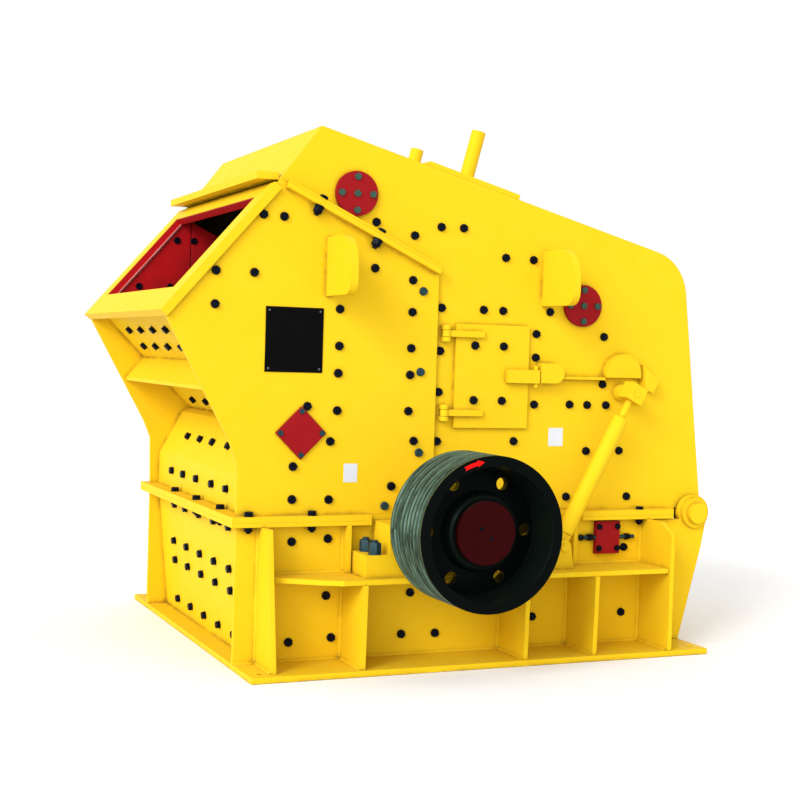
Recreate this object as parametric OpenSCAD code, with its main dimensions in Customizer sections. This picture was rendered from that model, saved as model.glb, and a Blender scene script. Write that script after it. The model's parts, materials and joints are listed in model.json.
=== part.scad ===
// Impact crusher: bar rotor in a welded housing whose rear half swings open.
// X runs from the feed end to the hinge end, the drive side faces -Y, Z is up.
// The origin is the centre of the base flange at floor level.

/* [Base] */
// Length of the base flange from the feed end to the hinge end
base_l = 2614; // [2580:2:2800]
// Width of the base flange across the machine
base_w = 2420; // [2380:2:2600]
// Thickness of the base flange
base_t = 30; // [20:1:45]
// Diameter of the anchor bolt holes
anchor_d = 42; // [24:1:60]
// Distance of the anchor holes from the long and short edges
anchor_in = 70; // [50:1:90]

/* [Housing] */
// Width over the fixed side plates
body_w = 1800; // [1780:2:1900]
// Thickness of the side plates
side_t = 25; // [16:1:30]
// Thickness of the end walls, floor, roof and back
wall_t = 20; // [12:1:25]
// How far the front wall lies behind the front edges of the side plates at the joint
front_recess = 54; // [40:1:90]
// Lean of the lower front wall from upright
wall_lean = 5.5; // [0:0.1:8]
// Distance from the front edges of the side plates to the rear wall
housing_l = 2569; // [2540:1:2580]
// Height of the rotor axis and of the joint between the housing halves
axis_z = 740; // [720:1:800]
// Distance of the rotor axis and the vertical split from the front edges
split_from_front = 1067; // [1040:1:1100]
// Thickness of the joint flange on the upper half
flange_t = 30; // [20:1:35]
// Thickness of the joint flange on the lower half
lower_flange_t = 22; // [16:1:30]
// Reach of the joint flanges beyond the fixed side plates
flange_w = 60; // [40:1:70]
// Clearance between faces of parts that separate
seat = 0.3; // [0.2:0.1:0.5]

/* [Stiffeners] */
// Thickness of the upright stiffeners
rib_t = 25; // [16:1:30]
// Height of the top face of the bearing shelf
shelf_z = 476; // [440:1:500]
// Thickness of the bearing shelf
shelf_t = 26; // [20:1:30]
// Distance of the stiffeners and shelf from the base flange edge
rib_in = 6; // [2:1:20]

/* [Upper front housing] */
// Height of the knee where the side plates start to lean forward
knee_z = 1045; // [1000:5:1100]
// Forward reach of the feed opening's lower edge beyond the front edges
inlet_reach = 393; // [360:1:420]
// Height of the lower edge of the feed opening plane
inlet_z = 1775; // [1740:1:1800]
// Angle of the feed opening plane from the floor
inlet_angle = 49.2; // [46:0.1:52]
// Height of the corner where the split turns from upright to sloping
split_z = 2040; // [2000:1:2080]
// Slope of the upper split line
split_angle = 24.7; // [22:0.1:27]
// Height of the clear feed opening along its plane
inlet_h = 620; // [580:1:640]
// Width of the bars round the feed opening
inlet_bar = 155; // [140:1:160]
// How far the feed opening's frame stands out over the side plates
inlet_over = 25; // [10:1:40]
// Thickness of the bars round the feed opening
inlet_t = 45; // [30:1:60]
// Angle of the feed floor from level
floor_angle = 45.8; // [44:0.1:50]
// Thickness of the red wear liners
liner_t = 30; // [20:1:40]

/* [Rear cover] */
// Height of the ridge at the front of the roof
ridge_z = 2732; // [2700:1:2780]
// Distance of the ridge from the front edges of the side plates
ridge_from_front = 405; // [380:1:430]
// Slope of the roof
roof_angle = 14.5; // [13:0.1:18]
// Lean of the back plate from upright
back_angle = 6.8; // [5:0.05:8]
// Radius of the rounded rear corner
corner_r = 260; // [200:5:400]
// Distance of the hinge axis behind the rear wall
hinge_behind = 123; // [111:1:141]
// Height of the hinge axis
hinge_z = 745; // [743:1:760]
// Diameter of the hinge pins
hinge_d = 70; // [50:1:80]
// Radial clearance of pins, shafts and axles in their bores
fit = 0.08; // [0.02:0.01:0.1]

/* [Inspection door] */
// Width of the door
door_w = 438; // [400:2:460]
// Height of the door
door_h = 550; // [500:2:580]
// Thickness of the door
door_t = 20; // [15:1:25]
// Height of the door's lower edge
door_z = 1215; // [1190:1:1240]

/* [Rotor] */
// Diameter over the tips of the blow bars
rotor_d = 1300; // [1240:10:1320]
// Length of the blow bars
rotor_l = 1500; // [1400:10:1520]
// Diameter of the main shaft
shaft_d = 160; // [130:2:180]
// Thickness of the rotor discs
disc_t = 60; // [40:2:80]
// Number of rotor discs
disc_n = 4; // [3:1:6]
// Number of blow bars
bar_n = 4; // [3:1:4]
// Thickness of the blow bars
bar_t = 100; // [80:2:110]

/* [Pulley] */
// Outside diameter of the pulley
pulley_d = 766; // [700:2:780]
// Face width of the pulley
pulley_w = 360; // [320:2:380]
// Number of belt grooves
groove_n = 9; // [6:1:10]
// Depth of the belt grooves
groove_h = 20; // [12:1:24]
// Diameter of the red hub cap
hub_cap_d = 312; // [280:2:330]

/* [Opening jack] */
// Outside diameter of the jack tube
jack_tube_d = 88; // [80:1:90]
// Diameter of the jack screw
jack_screw_d = 40; // [36:1:48]
// Radial clearance between screw and tube
jack_gap = 11; // [9:0.5:12]
// Diameter of the jack pivot pins
jack_pin_d = 44; // [36:1:46]

/* [Hidden] */

$fn = 48;
yellow = [1.0, 0.86, 0.08];
red = [0.68, 0.08, 0.11];
steel = [0.62, 0.64, 0.66];
dark = [0.07, 0.12, 0.10];

front_x = -base_l / 2;
rear_x = front_x + housing_l;
split_x = front_x + split_from_front;
hinge_x = rear_x + hinge_behind;
ridge_x = front_x + ridge_from_front;
out_y = body_w / 2;                      // outer face of the fixed side plates
in_y = out_y - side_t;                   // outer face of the cover plates
cover_in_y = in_y - side_t;              // inner face of the cover plates
rib_y = base_w / 2 - rib_in;             // outer edge of stiffeners and shelves
lower_top = axis_z - lower_flange_t;
upper_z = axis_z + flange_t;
shaft_gap_d = shaft_d + 50;              // opening for the shaft in the side plates

inlet_low = [front_x - inlet_reach, inlet_z];
inlet_u = [cos(inlet_angle), sin(inlet_angle)];
inlet_n = [sin(inlet_angle), -cos(inlet_angle)];
inlet_w = body_w + 2 * (inlet_over - inlet_bar);
inlet_back = inlet_t - 15;               // depth of the frame's back face behind the plane
inlet_s = -12;                           // start of the frame along the plane
inlet_l = inlet_h + 2 * inlet_bar - 68;  // length of the frame along the plane
split_u = [cos(split_angle), -sin(split_angle)];
// Where the feed opening plane meets the sloping split
inlet_top_x = (split_z + tan(split_angle) * split_x - inlet_z + tan(inlet_angle) * inlet_low[0])
    / (tan(inlet_angle) + tan(split_angle));
inlet_top = [inlet_top_x, inlet_z + tan(inlet_angle) * (inlet_top_x - inlet_low[0])];
split_corner = [split_x, split_z];
ridge = [ridge_x, ridge_z];
back_foot = [hinge_x + 71, upper_z + 60];
// Where the roof plane meets the back plane
roof_back_x = (back_foot[1] - ridge_z - tan(roof_angle) * ridge_x + back_foot[0] / tan(back_angle))
    / (1 / tan(back_angle) - tan(roof_angle));
roof_back = [roof_back_x, ridge_z - tan(roof_angle) * (roof_back_x - ridge_x)];
floor_end = [front_x + 232, 1232];       // lower end of the feed floor's underside

door_x = split_x + 112;                  // hinge-side edge of the door
door_axis = [split_x + 50, -in_y - 32];
strap_z = [door_z + 80, door_z + door_h - 54];
latch_z = door_z + door_h / 2 + 5;

jack_y = out_y + flange_w + 8 + jack_tube_d / 2;
jack_low = [hinge_x - 925, 590];
jack_high = [hinge_x - 485, 1417];
jack_len = norm(jack_high - jack_low);
jack_tilt = atan2(jack_high[1] - jack_low[1], jack_high[0] - jack_low[0]);
jack_tube_l = jack_len - 155;

axle_1 = [ridge_x + 191, 2404];
axle_2 = [hinge_x - 748, 1888];
rod_x = split_x + 342;                   // rods' place on the roof line
rod_y = 420;

function unit(v) = v / norm(v);
function left_of(v) = [-v[1], v[0]];
function roof_z(x) = ridge_z - tan(roof_angle) * (x - ridge_x);
function split_line_z(x) = split_z + tan(split_angle) * (split_x - x);
// Outer face of the lower front wall at height z
function wall_x(z) = front_x + front_recess + tan(wall_lean) * (axis_z - z);
function floor_z(x) = floor_end[1] + tan(floor_angle) * (floor_end[0] - x);
// A point of the feed opening plane, s along the slope and d into the housing
function inlet_pt(s, d) = inlet_low + s * inlet_u + d * inlet_n;
// Mitred offset of one corner of a folded plate
function mitre(p, i, t) = let (
        n = len(p) - 1,
        a = i == 0 ? unit(p[1] - p[0]) : unit(p[i] - p[i - 1]),
        b = i == n ? a : unit(p[i + 1] - p[i]),
        d = unit(left_of(a) + left_of(b))
    ) p[i] + d * t / (d * left_of(a));
// Outline of a plate of thickness t folded along the points p, from corner i to corner j
function strip(p, i, j, t) = concat([for (k = [i : j]) p[k]], [for (k = [j : -1 : i]) mitre(p, k, t)]);
function folded(p, t) = strip(p, 0, len(p) - 1, t);
// Points of an arc of radius r that rounds the corner b between a and c
function fillet(a, b, c, r, n = 8) = let (
        u = unit(a - b),
        v = unit(c - b),
        half = acos(u * v) / 2,
        m = b + unit(u + v) * r / sin(half),
        p = b + u * r / tan(half) - m,
        q = b + v * r / tan(half) - m,
        turn = atan2(p[0] * q[1] - p[1] * q[0], p * q)
    ) [for (i = [0 : n]) let (w = turn * i / n)
        m + [p[0] * cos(w) - p[1] * sin(w), p[0] * sin(w) + p[1] * cos(w)]];

rear_corner = fillet(ridge, roof_back, back_foot, corner_r);
// Outer line of the cover's slope, roof and back, from the split round to the joint
cover_shell = concat([inlet_top + [8, 12], ridge], rear_corner,
    [back_foot, [hinge_x - 75, upper_z + seat + wall_t]]);
shell_end = len(cover_shell) - 1;

// Upright plate whose outline is drawn in X and Z, from y to y + t
module plate(y, t) {
    translate([0, y + t, 0]) rotate([90, 0, 0]) linear_extrude(t) children();
}

// Space taken by the feed opening's frame, seen from the side
module frame_zone() translate(inlet_low) rotate(inlet_angle)
    translate([inlet_s - 300, -inlet_back]) square([inlet_l + 300, 300]);

module both_sides() {
    children();
    mirror([0, 1, 0]) children();
}

// Cylinder along Y between y0 and y1, at a place given in X and Z
module rod_y(at, y0, y1, d) {
    translate([at[0], y0, at[1]]) rotate([-90, 0, 0]) cylinder(h = y1 - y0, d = d);
}

module box(x, y, z) {
    translate([x[0], y[0], z[0]]) cube([x[1] - x[0], y[1] - y[0], z[1] - z[0]]);
}

// Turns and moves children from the jack's own line onto the machine
module on_jack(at) {
    translate([at[0], 0, at[1]]) rotate([0, 90 - jack_tilt, 0]) children();
}

// ---------------------------------------------------------------- base and lower housing

module base_flange() color(yellow) difference() {
    translate([-base_l / 2, -base_w / 2, 0]) cube([base_l, base_w, base_t]);
    box([wall_x(base_t) + wall_t, rear_x - wall_t], [-in_y, in_y], [-1, base_t + 1]);
    for (x = [-1, 1], y = [-1, 1])
        translate([x * (base_l / 2 - anchor_in), y * (base_w / 2 - anchor_in), -1])
            cylinder(h = base_t + 2, d = anchor_d);
}

module lower_side() color(yellow) plate(-out_y, side_t) difference() {
    polygon([[front_x, base_t], [rear_x, base_t], [rear_x, lower_top], [front_x, lower_top]]);
    translate([split_x, axis_z]) circle(d = shaft_gap_d);
}

module lower_front_wall() color(yellow) plate(-in_y, 2 * in_y) polygon([
    [wall_x(base_t), base_t], [wall_x(lower_top), lower_top],
    [wall_x(lower_top) + wall_t, lower_top], [wall_x(base_t) + wall_t, base_t]]);

module lower_rear_wall() color(yellow)
    box([rear_x - wall_t, rear_x], [-in_y, in_y], [base_t, lower_top]);

flange_front_x = front_x - 38;
flange_rear_x = rear_x - 32;
bearing_gap = [split_x - 365, split_x + 880];    // the flange stops at bearing and jack

// Flange ring round the joint, with y_in as its inner half width
module flange_ring(y_in, z0, z1) difference() {
    union() {
        box([flange_front_x, flange_rear_x], [-out_y - flange_w, out_y + flange_w], [z0, z1]);
        box([flange_rear_x - 1, rear_x + 28], [-in_y, in_y], [z0, z1]);
    }
    box([wall_x(axis_z) + wall_t, rear_x - wall_t], [-y_in, y_in], [z0 - 1, z1 + 1]);
    for (s = [-1, 1]) translate([0, s * (out_y + flange_w / 2 + 1), 0])
        box(bearing_gap, [-flange_w / 2 - 1, flange_w / 2 + 1], [z0 - 1, z1 + 1]);
    rod_y([split_x, axis_z], -base_w, base_w, shaft_gap_d);
}

module lower_flange() color(yellow) flange_ring(in_y, lower_top, axis_z);

rib_x = [front_x + 127, front_x + 582, front_x + 1492, front_x + 1907, front_x + 2372];

// Upright stiffener across the machine, its outline drawn in Y and Z
module cross_plate(x, t) {
    translate([x - t / 2, 0, 0]) rotate([90, 0, 90]) linear_extrude(t) children();
}

// The outer edge leans in towards the top, or stays upright and has its top corner cut
module end_stiffener(x, foot_in, edge_in, top_in) cross_plate(x, rib_t) polygon([
    [-rib_y + foot_in, base_t], [-rib_y + edge_in, lower_top - 60], [-rib_y + top_in, lower_top],
    [-out_y, lower_top], [-out_y, base_t]]);

module short_stiffener(x) cross_plate(x, rib_t) polygon([
    [-rib_y + 12, base_t], [-rib_y, shelf_z - shelf_t], [-out_y, shelf_z - shelf_t],
    [-out_y, base_t]]);

// Plate above the shelf that carries the end of the joint flange
module flange_stiffener(x) cross_plate(x, rib_t) polygon([[-out_y - flange_w, shelf_z],
    [-out_y - flange_w, lower_top], [-out_y, lower_top], [-out_y, shelf_z]]);

module stiffeners() color(yellow) {
    end_stiffener(rib_x[0], 34, 132, 144);
    for (i = [1 : 3]) short_stiffener(rib_x[i]);
    for (i = [1, 3]) flange_stiffener(rib_x[i]);
    end_stiffener(rib_x[4], 0, 0, 105);
}

shelf_y = rib_y - 12;
shelf_x = [rib_x[0] + rib_t / 2, rib_x[4] - rib_t / 2];

// Shelf with its feed-end corner cut back to the narrow stiffener
module bearing_shelves() color(yellow) both_sides() translate([0, 0, shelf_z - shelf_t])
    linear_extrude(shelf_t) polygon([[shelf_x[0], -out_y], [shelf_x[0], -out_y - 95],
        [shelf_x[0] + 55, -out_y - 135], [shelf_x[0] + 245, -shelf_y + 42],
        [shelf_x[0] + 330, -shelf_y], [shelf_x[1], -shelf_y], [shelf_x[1], -out_y]]);

bearing_y = [out_y + 30, out_y + 240];
bearing_half = 340;
bearing_foot_half = 465;
bearing_foot_h = 114;

module bearing_housing() difference() {
    union() {
        rod_y([split_x, axis_z], -bearing_y[1], -bearing_y[0], 2 * (axis_z - shelf_z - 60));
        box([split_x - bearing_half, split_x + bearing_half], [-bearing_y[1], -bearing_y[0]],
            [shelf_z, axis_z]);
        box([split_x - bearing_foot_half, split_x + bearing_foot_half],
            [-bearing_y[1], -bearing_y[0]], [shelf_z, shelf_z + bearing_foot_h]);
        rod_y([split_x, axis_z], -bearing_y[1] - 25, -bearing_y[0] + 30, 300);
    }
    rod_y([split_x, axis_z], -base_w, 0, shaft_d + 2 * fit);
}

module bearing_housings() color(yellow) both_sides() bearing_housing();

ear_t = 30;
ear_r = 100;
ear_neck = [hinge_x + 58, hinge_z - 185];
ear_side = 82;                           // reach of the ear's straight edges from the axis

module hinge_ear_shape() difference() {
    union() {
        polygon([[rib_x[4] + 45, base_t], [base_l / 2, base_t], ear_neck,
            [hinge_x + ear_side, ear_neck[1] + 127], [hinge_x, hinge_z],
            [hinge_x - ear_side, lower_top - 8], [rib_x[4] + 45, lower_top - 8]]);
        translate([hinge_x, hinge_z]) circle(r = ear_r);
    }
    translate([hinge_x, hinge_z]) circle(d = hinge_d + 2 * fit);
}

module hinge_ears() color(yellow) both_sides() difference() {
    union() {
        plate(-out_y - ear_t, ear_t) hinge_ear_shape();
        rod_y([hinge_x, hinge_z], -out_y - ear_t - 20, -out_y - ear_t, 1.7 * ear_r);
    }
    rod_y([hinge_x, hinge_z], -base_w, 0, hinge_d + 2 * fit);
}

module hinge_pins() color(yellow) both_sides() {
    rod_y([hinge_x, hinge_z], -out_y - ear_t - 20, -cover_in_y + 10, hinge_d);
    rod_y([hinge_x, hinge_z], -out_y - ear_t - 50, -out_y - ear_t - 20, 116);
}

// ---------------------------------------------------------------- upper front housing

module front_side_shape() difference() {
    polygon([[front_x, upper_z], [front_x - 6, knee_z], [front_x - 48, knee_z + 102], inlet_low,
        inlet_top, split_corner, [split_x, upper_z]]);
    translate([split_x, axis_z]) circle(d = shaft_gap_d);
    frame_zone();
}

split_flange_w = 45;

module front_side() color(yellow) {
    plate(-out_y, side_t) front_side_shape();
    // Bolting flange along the sloping split
    plate(-out_y - split_flange_w, split_flange_w) polygon(folded([
        inlet_top + 40 * split_u, split_corner - 2 * split_u], -28));
}

module front_flange() color(yellow) intersection() {
    flange_ring(in_y, axis_z, upper_z);
    box([-base_l, split_x], [-base_w, base_w], [0, base_l]);
}

module upper_front_wall() color(yellow) plate(-in_y, 2 * in_y) polygon(folded([
    [wall_x(upper_z), upper_z], [wall_x(upper_z), knee_z - 90],
    floor_end + [-45, -26], floor_end - [1, 1]], -wall_t));

module feed_floor() color(yellow) plate(-in_y, 2 * in_y) difference() {
    polygon(folded([floor_end, [inlet_low[0] + 70, floor_z(inlet_low[0] + 70)]], -wall_t));
    frame_zone();
}

// Lower edge and upper edge of the sloping shelf below the feed floor
shelf_low = [front_x - 165, 1388];
shelf_rise = 122;
function floor_x(z) = floor_end[0] - (z - floor_end[1]) / tan(floor_angle);

module front_shelf() color(yellow) plate(-in_y, 2 * in_y) polygon([
    shelf_low, [floor_x(shelf_low[1] + shelf_rise) - seat, shelf_low[1] + shelf_rise],
    [floor_x(shelf_low[1] + shelf_rise + wall_t) - seat, shelf_low[1] + shelf_rise + wall_t],
    shelf_low + [0, wall_t]]);

module inlet_frame() color(yellow)
    translate([inlet_low[0], 0, inlet_low[1]]) rotate([0, -inlet_angle, 0])
        translate([inlet_s, 0, -inlet_back]) difference() {
            translate([0, -out_y - inlet_over, 0])
                cube([inlet_l, 2 * (out_y + inlet_over), inlet_t]);
            translate([inlet_bar, -inlet_w / 2, -1]) cube([inlet_h, inlet_w, inlet_t + 2]);
        }

liner_y = inlet_w / 2 + 5;
seam_x = front_x + 186;                  // seam between the two liners of a side
liner_end = [split_x - 520, 1330];       // lowest corner, nearest to the rotor

liner_bolts = [[seam_x - 330, 1900], [seam_x - 90, 1900], [seam_x - 90, 2160],
    [seam_x + 80, 2180], [seam_x + 280, 1500], [seam_x + 280, 2080], [seam_x + 80, 1600]];

module feed_liners() color(red) both_sides() {
    plate(-liner_y - liner_t, liner_t) polygon([
        inlet_pt(inlet_s + inlet_bar, inlet_back + seat),
        inlet_pt(inlet_s + inlet_bar + inlet_h, inlet_back + seat),
        [seam_x, split_line_z(seam_x) - 95], [seam_x, floor_z(seam_x) + 60]]);
    plate(-liner_y - liner_t, liner_t) polygon([
        [seam_x + 6, floor_z(seam_x) + 60], [seam_x + 6, split_line_z(seam_x) - 95],
        [liner_end[0], split_line_z(liner_end[0]) - 95], liner_end]);
    // Spacers that carry the liners on the side plates
    for (p = liner_bolts) rod_y(p, -in_y, -liner_y - liner_t + 1, 60);
}

lug_w = 344;
lug_h = 297;
lug_t = 40;
lug_z = 1876;
lug_x = [split_x - 610, split_x + 645];

// Lifting lug with its outer corners rounded off
module lug_shape() polygon(concat([[0, lug_h], [0, 0]],
    fillet([0, 0], [-lug_w, 0], [-lug_w, lug_h], 70, 4),
    fillet([-lug_w, 0], [-lug_w, lug_h], [0, lug_h + 6], 150, 6)));

module front_lifting_lugs() color(yellow) both_sides()
    translate([0, -out_y, lug_z]) cross_plate(lug_x[0], lug_t) lug_shape();

module diamond_covers() color(red) both_sides()
    translate([front_x + 324, -out_y - 14, 1184]) rotate([0, 45, 0])
        translate([-95, 0, -95]) cube([190, 14, 190]);

adjuster_x = split_x + 1063;
adjuster_z = 618;

adjuster_w = 150;

module adjuster_covers() color(red) both_sides()
    box([adjuster_x - adjuster_w / 2, adjuster_x + adjuster_w / 2], [-out_y - 30, -out_y],
        [adjuster_z - 90, adjuster_z + 90]);

module adjuster_screws() color(steel) both_sides() for (s = [-1, 1])
    translate([adjuster_x + s * adjuster_w / 2, -out_y - 16, adjuster_z])
        rotate([0, s * 90, 0]) cylinder(h = 70, d = 22);

module name_plate() color([0.03, 0.03, 0.03])
    box([front_x + 125, front_x + 430], [-out_y - 4, -out_y], [1488, 1814]);

foot_half = jack_tube_d / 2 + 6;

module jack_feet() color(yellow) both_sides() {
    for (y = [-jack_y - foot_half - 20, -jack_y + foot_half])
        plate(y, 20) difference() {
            union() {
                polygon([[jack_low[0] - 60, shelf_z], [jack_low[0] + 60, shelf_z],
                    [jack_low[0] + 42, jack_low[1]], [jack_low[0] - 42, jack_low[1]]]);
                translate(jack_low) circle(d = 84);
            }
            translate(jack_low) circle(d = jack_pin_d + 2 * fit);
        }
    rod_y(jack_low, -jack_y - foot_half - 30, -jack_y + foot_half + 24, jack_pin_d);
}

// ---------------------------------------------------------------- rear cover

cover_outline = concat([[split_x, upper_z + seat], split_corner + [0, seat * 2],
    inlet_top + [0, seat * 2], ridge], rear_corner, [back_foot, [hinge_x - 75, upper_z + seat]]);

hatch_in = 30;

module cover_shape() difference() {
    union() {
        polygon(cover_outline);
        translate([hinge_x, hinge_z]) circle(r = ear_r - 14);
    }
    translate([split_x, axis_z]) circle(d = shaft_gap_d);
    translate([hinge_x, hinge_z]) circle(d = hinge_d + 2 * fit);
    translate(axle_1) circle(d = axle_d + 2 * fit);
    translate(axle_2) circle(d = axle_d + 2 * fit);
}

axle_d = 110;

module cover_side(hatch) color(yellow) {
    plate(-in_y, side_t) difference() {
        cover_shape();
        if (hatch) translate([door_x + hatch_in, door_z + hatch_in])
            square([door_w - 2 * hatch_in, door_h - 2 * hatch_in]);
    }
    // Bolting flange along the sloping split
    plate(-out_y - split_flange_w, split_flange_w + side_t) polygon(folded([
        inlet_top + 40 * split_u + [0, 2 * seat], split_corner - 2 * split_u + [0, 2 * seat]], 12));
}

module cover_roof() color(yellow) difference() {
    plate(-cover_in_y, 2 * cover_in_y) polygon(strip(cover_shell, 1, 2, -wall_t));
    rod_holes();
}

module rod_holes() for (s = [-1, 1]) rod_place(s) translate([0, 0, -400]) cylinder(
    h = 800, d = rod_d + 2 * fit);

rod_d = 80;

module rod_place(s)
    translate([rod_x, s * rod_y, roof_z(rod_x)]) rotate([0, roof_angle, 0]) children();

module cover_back() color(yellow) plate(-cover_in_y, 2 * cover_in_y)
    polygon(strip(cover_shell, 2, shell_end, -wall_t));

module cover_front_slope() color(yellow) {
    plate(-cover_in_y, 2 * cover_in_y) polygon(strip(cover_shell, 0, 1, -wall_t));
    box([inlet_top[0] - 108, inlet_top[0] + 7], [-cover_in_y, cover_in_y],
        [inlet_top[1] + 1, inlet_top[1] + 38]);
}

module cover_flange() color(yellow) intersection() {
    translate([0, 0, seat]) flange_ring(cover_in_y, axis_z, upper_z);
    box([split_x + seat, base_l], [-base_w, base_w], [0, base_l]);
}

module roof_pad() color(yellow) difference() {
    translate([rod_x, 0, roof_z(rod_x)]) rotate([0, roof_angle, 0])
        translate([-418, -in_y + 5, 0]) cube([552, 2 * in_y - 10, pad_t]);
    rod_holes();
}

pad_t = 28;
rod_depth = 700;                         // how far the rods reach below the roof
rod_top = 394;                           // how far they stand above it
rod_nut_h = 22;

module adjusting_rods() color(yellow) for (s = [-1, 1]) rod_place(s) {
    translate([0, 0, -rod_depth]) cylinder(h = rod_depth + rod_top, d = rod_d);
    difference() {
        translate([0, 0, pad_t]) cylinder(h = rod_nut_h, d = 120);
        cylinder(h = pad_t + rod_nut_h + 1, d = rod_d - 1);
    }
}

apron_w = 2 * cover_in_y - 60;
apron_t = 60;

module apron(axle, path, t) color([0.45, 0.42, 0.40]) difference() {
    union() {
        plate(-apron_w / 2, apron_w) polygon(folded(path, t));
        rod_y(axle, -apron_w / 2, apron_w / 2, axle_d + 80);
    }
    rod_y(axle, -apron_w, apron_w, axle_d + 2 * fit);
}

// Highest and rearmost points of the circle of the blow bars, and the corners of each
// apron's rear face from there
rotor_top = [split_x, axis_z + rotor_d / 2];
rotor_back = [split_x + rotor_d / 2, axis_z];
front_apron_path = [[180, 40], [120, 310], [-130, 600]];
rear_apron_path = [[25, 140], [80, 410], [85, 740]];
apron_top = [40, -40];                   // upper end of the front apron from its axle
apron_lug = [235, 120, 40];
apron_lug_back = 175;                    // how far the lugs reach behind the rods' line

module front_apron() {
    apron(axle_1, concat([for (p = front_apron_path) rotor_top + p], [axle_1 + apron_top]),
        apron_t);
    // Lugs that the adjusting rods stand on
    color([0.45, 0.42, 0.40]) for (s = [-1, 1]) rod_place(s)
        translate([-apron_lug_back, -apron_lug[1] / 2, -rod_depth - seat - apron_lug[2]]) cube(apron_lug);
}

module rear_apron() apron(axle_2, concat([for (p = rear_apron_path) rotor_back + p],
    [axle_2 + [apron_top[0] / 2, apron_top[1]]]), -apron_t);

module apron_axles() color(steel) for (a = [axle_1, axle_2])
    rod_y(a, -in_y, in_y, axle_d);

axle_cover_d = 228;

module axle_covers() color(red) both_sides() for (a = [axle_1, axle_2])
    rod_y(a, -in_y - 24, -in_y, axle_cover_d);

module cover_lifting_lugs() color(yellow) both_sides()
    translate([0, -in_y, lug_z]) cross_plate(lug_x[1], lug_t) lug_shape();

knuckle_d = 44;
strap_h = 34;
latch_end = door_x + 489;
keeper_at = [door_x + 584, latch_z + 20];
keeper_r = 54;
bar_out = 40;                            // how far the bar stands out from the cover
bracket_at = [hinge_x - 490, 1520];
bracket_r = 112;
jack_eye = 92;                           // width of the jack's end block

module door_mounts() color(yellow) {
    for (z = strap_z) {
        for (s = [-1, 1]) {
            rod_z = z + s * (strap_h / 2 + 14);
            translate([door_axis[0], door_axis[1], rod_z - 12]) cylinder(h = 24, d = knuckle_d);
            box([door_axis[0] - knuckle_d / 2, door_axis[0] + knuckle_d / 2],
                [door_axis[1], -in_y], [rod_z - 12, rod_z + 12]);
        }
        translate([door_axis[0], door_axis[1], z - 40]) cylinder(h = 80, d = 18);
    }
    // Keeper that the latch strap meets
    box([latch_end + 6, keeper_at[0]], [-in_y - 62, -in_y],
        [keeper_at[1] - keeper_r, keeper_at[1] + keeper_r]);
    rod_y(keeper_at, -in_y - 62, -in_y, 2 * keeper_r);
    // Bar between the keeper and the jack's bracket
    box([keeper_at[0], bracket_at[0] - bracket_r], [-in_y - bar_out, -in_y],
        [bracket_at[1] - 35, bracket_at[1] - 20]);
}

module jack_brackets() color(yellow) both_sides() {
    rod_y(jack_high, -jack_y + jack_eye / 2 + 4, -in_y, 96);
    rod_y(jack_high, -jack_y - jack_eye / 2 - 1, -in_y, jack_pin_d);
    // Half-round pad above the jack's end
    plate(-in_y - bar_out - 10, bar_out + 10) difference() {
        translate(bracket_at) circle(r = bracket_r);
        translate(bracket_at - [bracket_r + 1, 220]) square([2 * bracket_r + 2, 200]);
    }
    // Gusset behind the jack's end
    plate(-in_y - bar_out - 25, bar_out + 25) polygon([[jack_high[0] + 112, jack_high[1] + 158],
        [jack_high[0] + 216, jack_high[1] + 70], [jack_high[0] + 180, jack_high[1]],
        [jack_high[0] + 126, jack_high[1] + 26]]);
}

// ---------------------------------------------------------------- inspection door

module inspection_door() color(yellow)
    box([door_x, door_x + door_w], [-in_y - seat - door_t, -in_y - seat],
        [door_z, door_z + door_h]);

module door_straps() color(yellow) {
    for (z = strap_z) difference() {
        union() {
            translate([door_axis[0], door_axis[1], z - strap_h / 2])
                cylinder(h = strap_h, d = knuckle_d);
            box([door_axis[0], door_x + 160], [-in_y - seat - door_t - 22, -in_y - seat - door_t],
                [z - strap_h / 2, z + strap_h / 2]);
        }
        translate([door_axis[0], door_axis[1], z - 60]) cylinder(h = 120, d = 18 + 2 * fit);
    }
    box([door_x + 298, latch_end], [-in_y - seat - door_t - 38, -in_y - seat - door_t],
        [latch_z - 36, latch_z + 36]);
    translate([latch_end - 16, -in_y - seat - door_t - 19, latch_z - 58])
        cylinder(h = 116, d = 24);
}

// ---------------------------------------------------------------- rotor and drive

pulley_y = -base_w / 2 - 30;             // inner face of the pulley
hub_l = pulley_w - 90;                   // front face of the pulley's hub from its inner face
rotor_r = rotor_d / 2;

module rotor_shaft() color(steel) {
    rod_y([split_x, axis_z], pulley_y - hub_l, bearing_y[1] + 60, shaft_d);
    difference() {
        rod_y([split_x, axis_z], -rotor_l / 2 + 30, rotor_l / 2 - 30, shaft_d + 140);
        rod_y([split_x, axis_z], -rotor_l, rotor_l, shaft_d + 2 * fit);
    }
}

module disc_shape() difference() {
    circle(r = rotor_r - 75);
    circle(d = shaft_d + 140 + 2 * fit);
    for (i = [0 : bar_n - 1]) rotate(i * 360 / bar_n) {
        translate([rotor_r - 310, -bar_t / 2 - seat]) square([400, bar_t + 2 * seat]);
        rotate(180 / bar_n) translate([rotor_r - 40, 0]) circle(r = 190);
    }
}

module rotor_discs() color([0.35, 0.36, 0.38]) translate([split_x, 0, axis_z])
    for (i = [0 : disc_n - 1])
        translate([0, (i / (disc_n - 1) - 0.5) * (rotor_l - disc_t - 60) + disc_t / 2, 0])
            rotate([90, 0, 0]) linear_extrude(disc_t) disc_shape();

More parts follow.
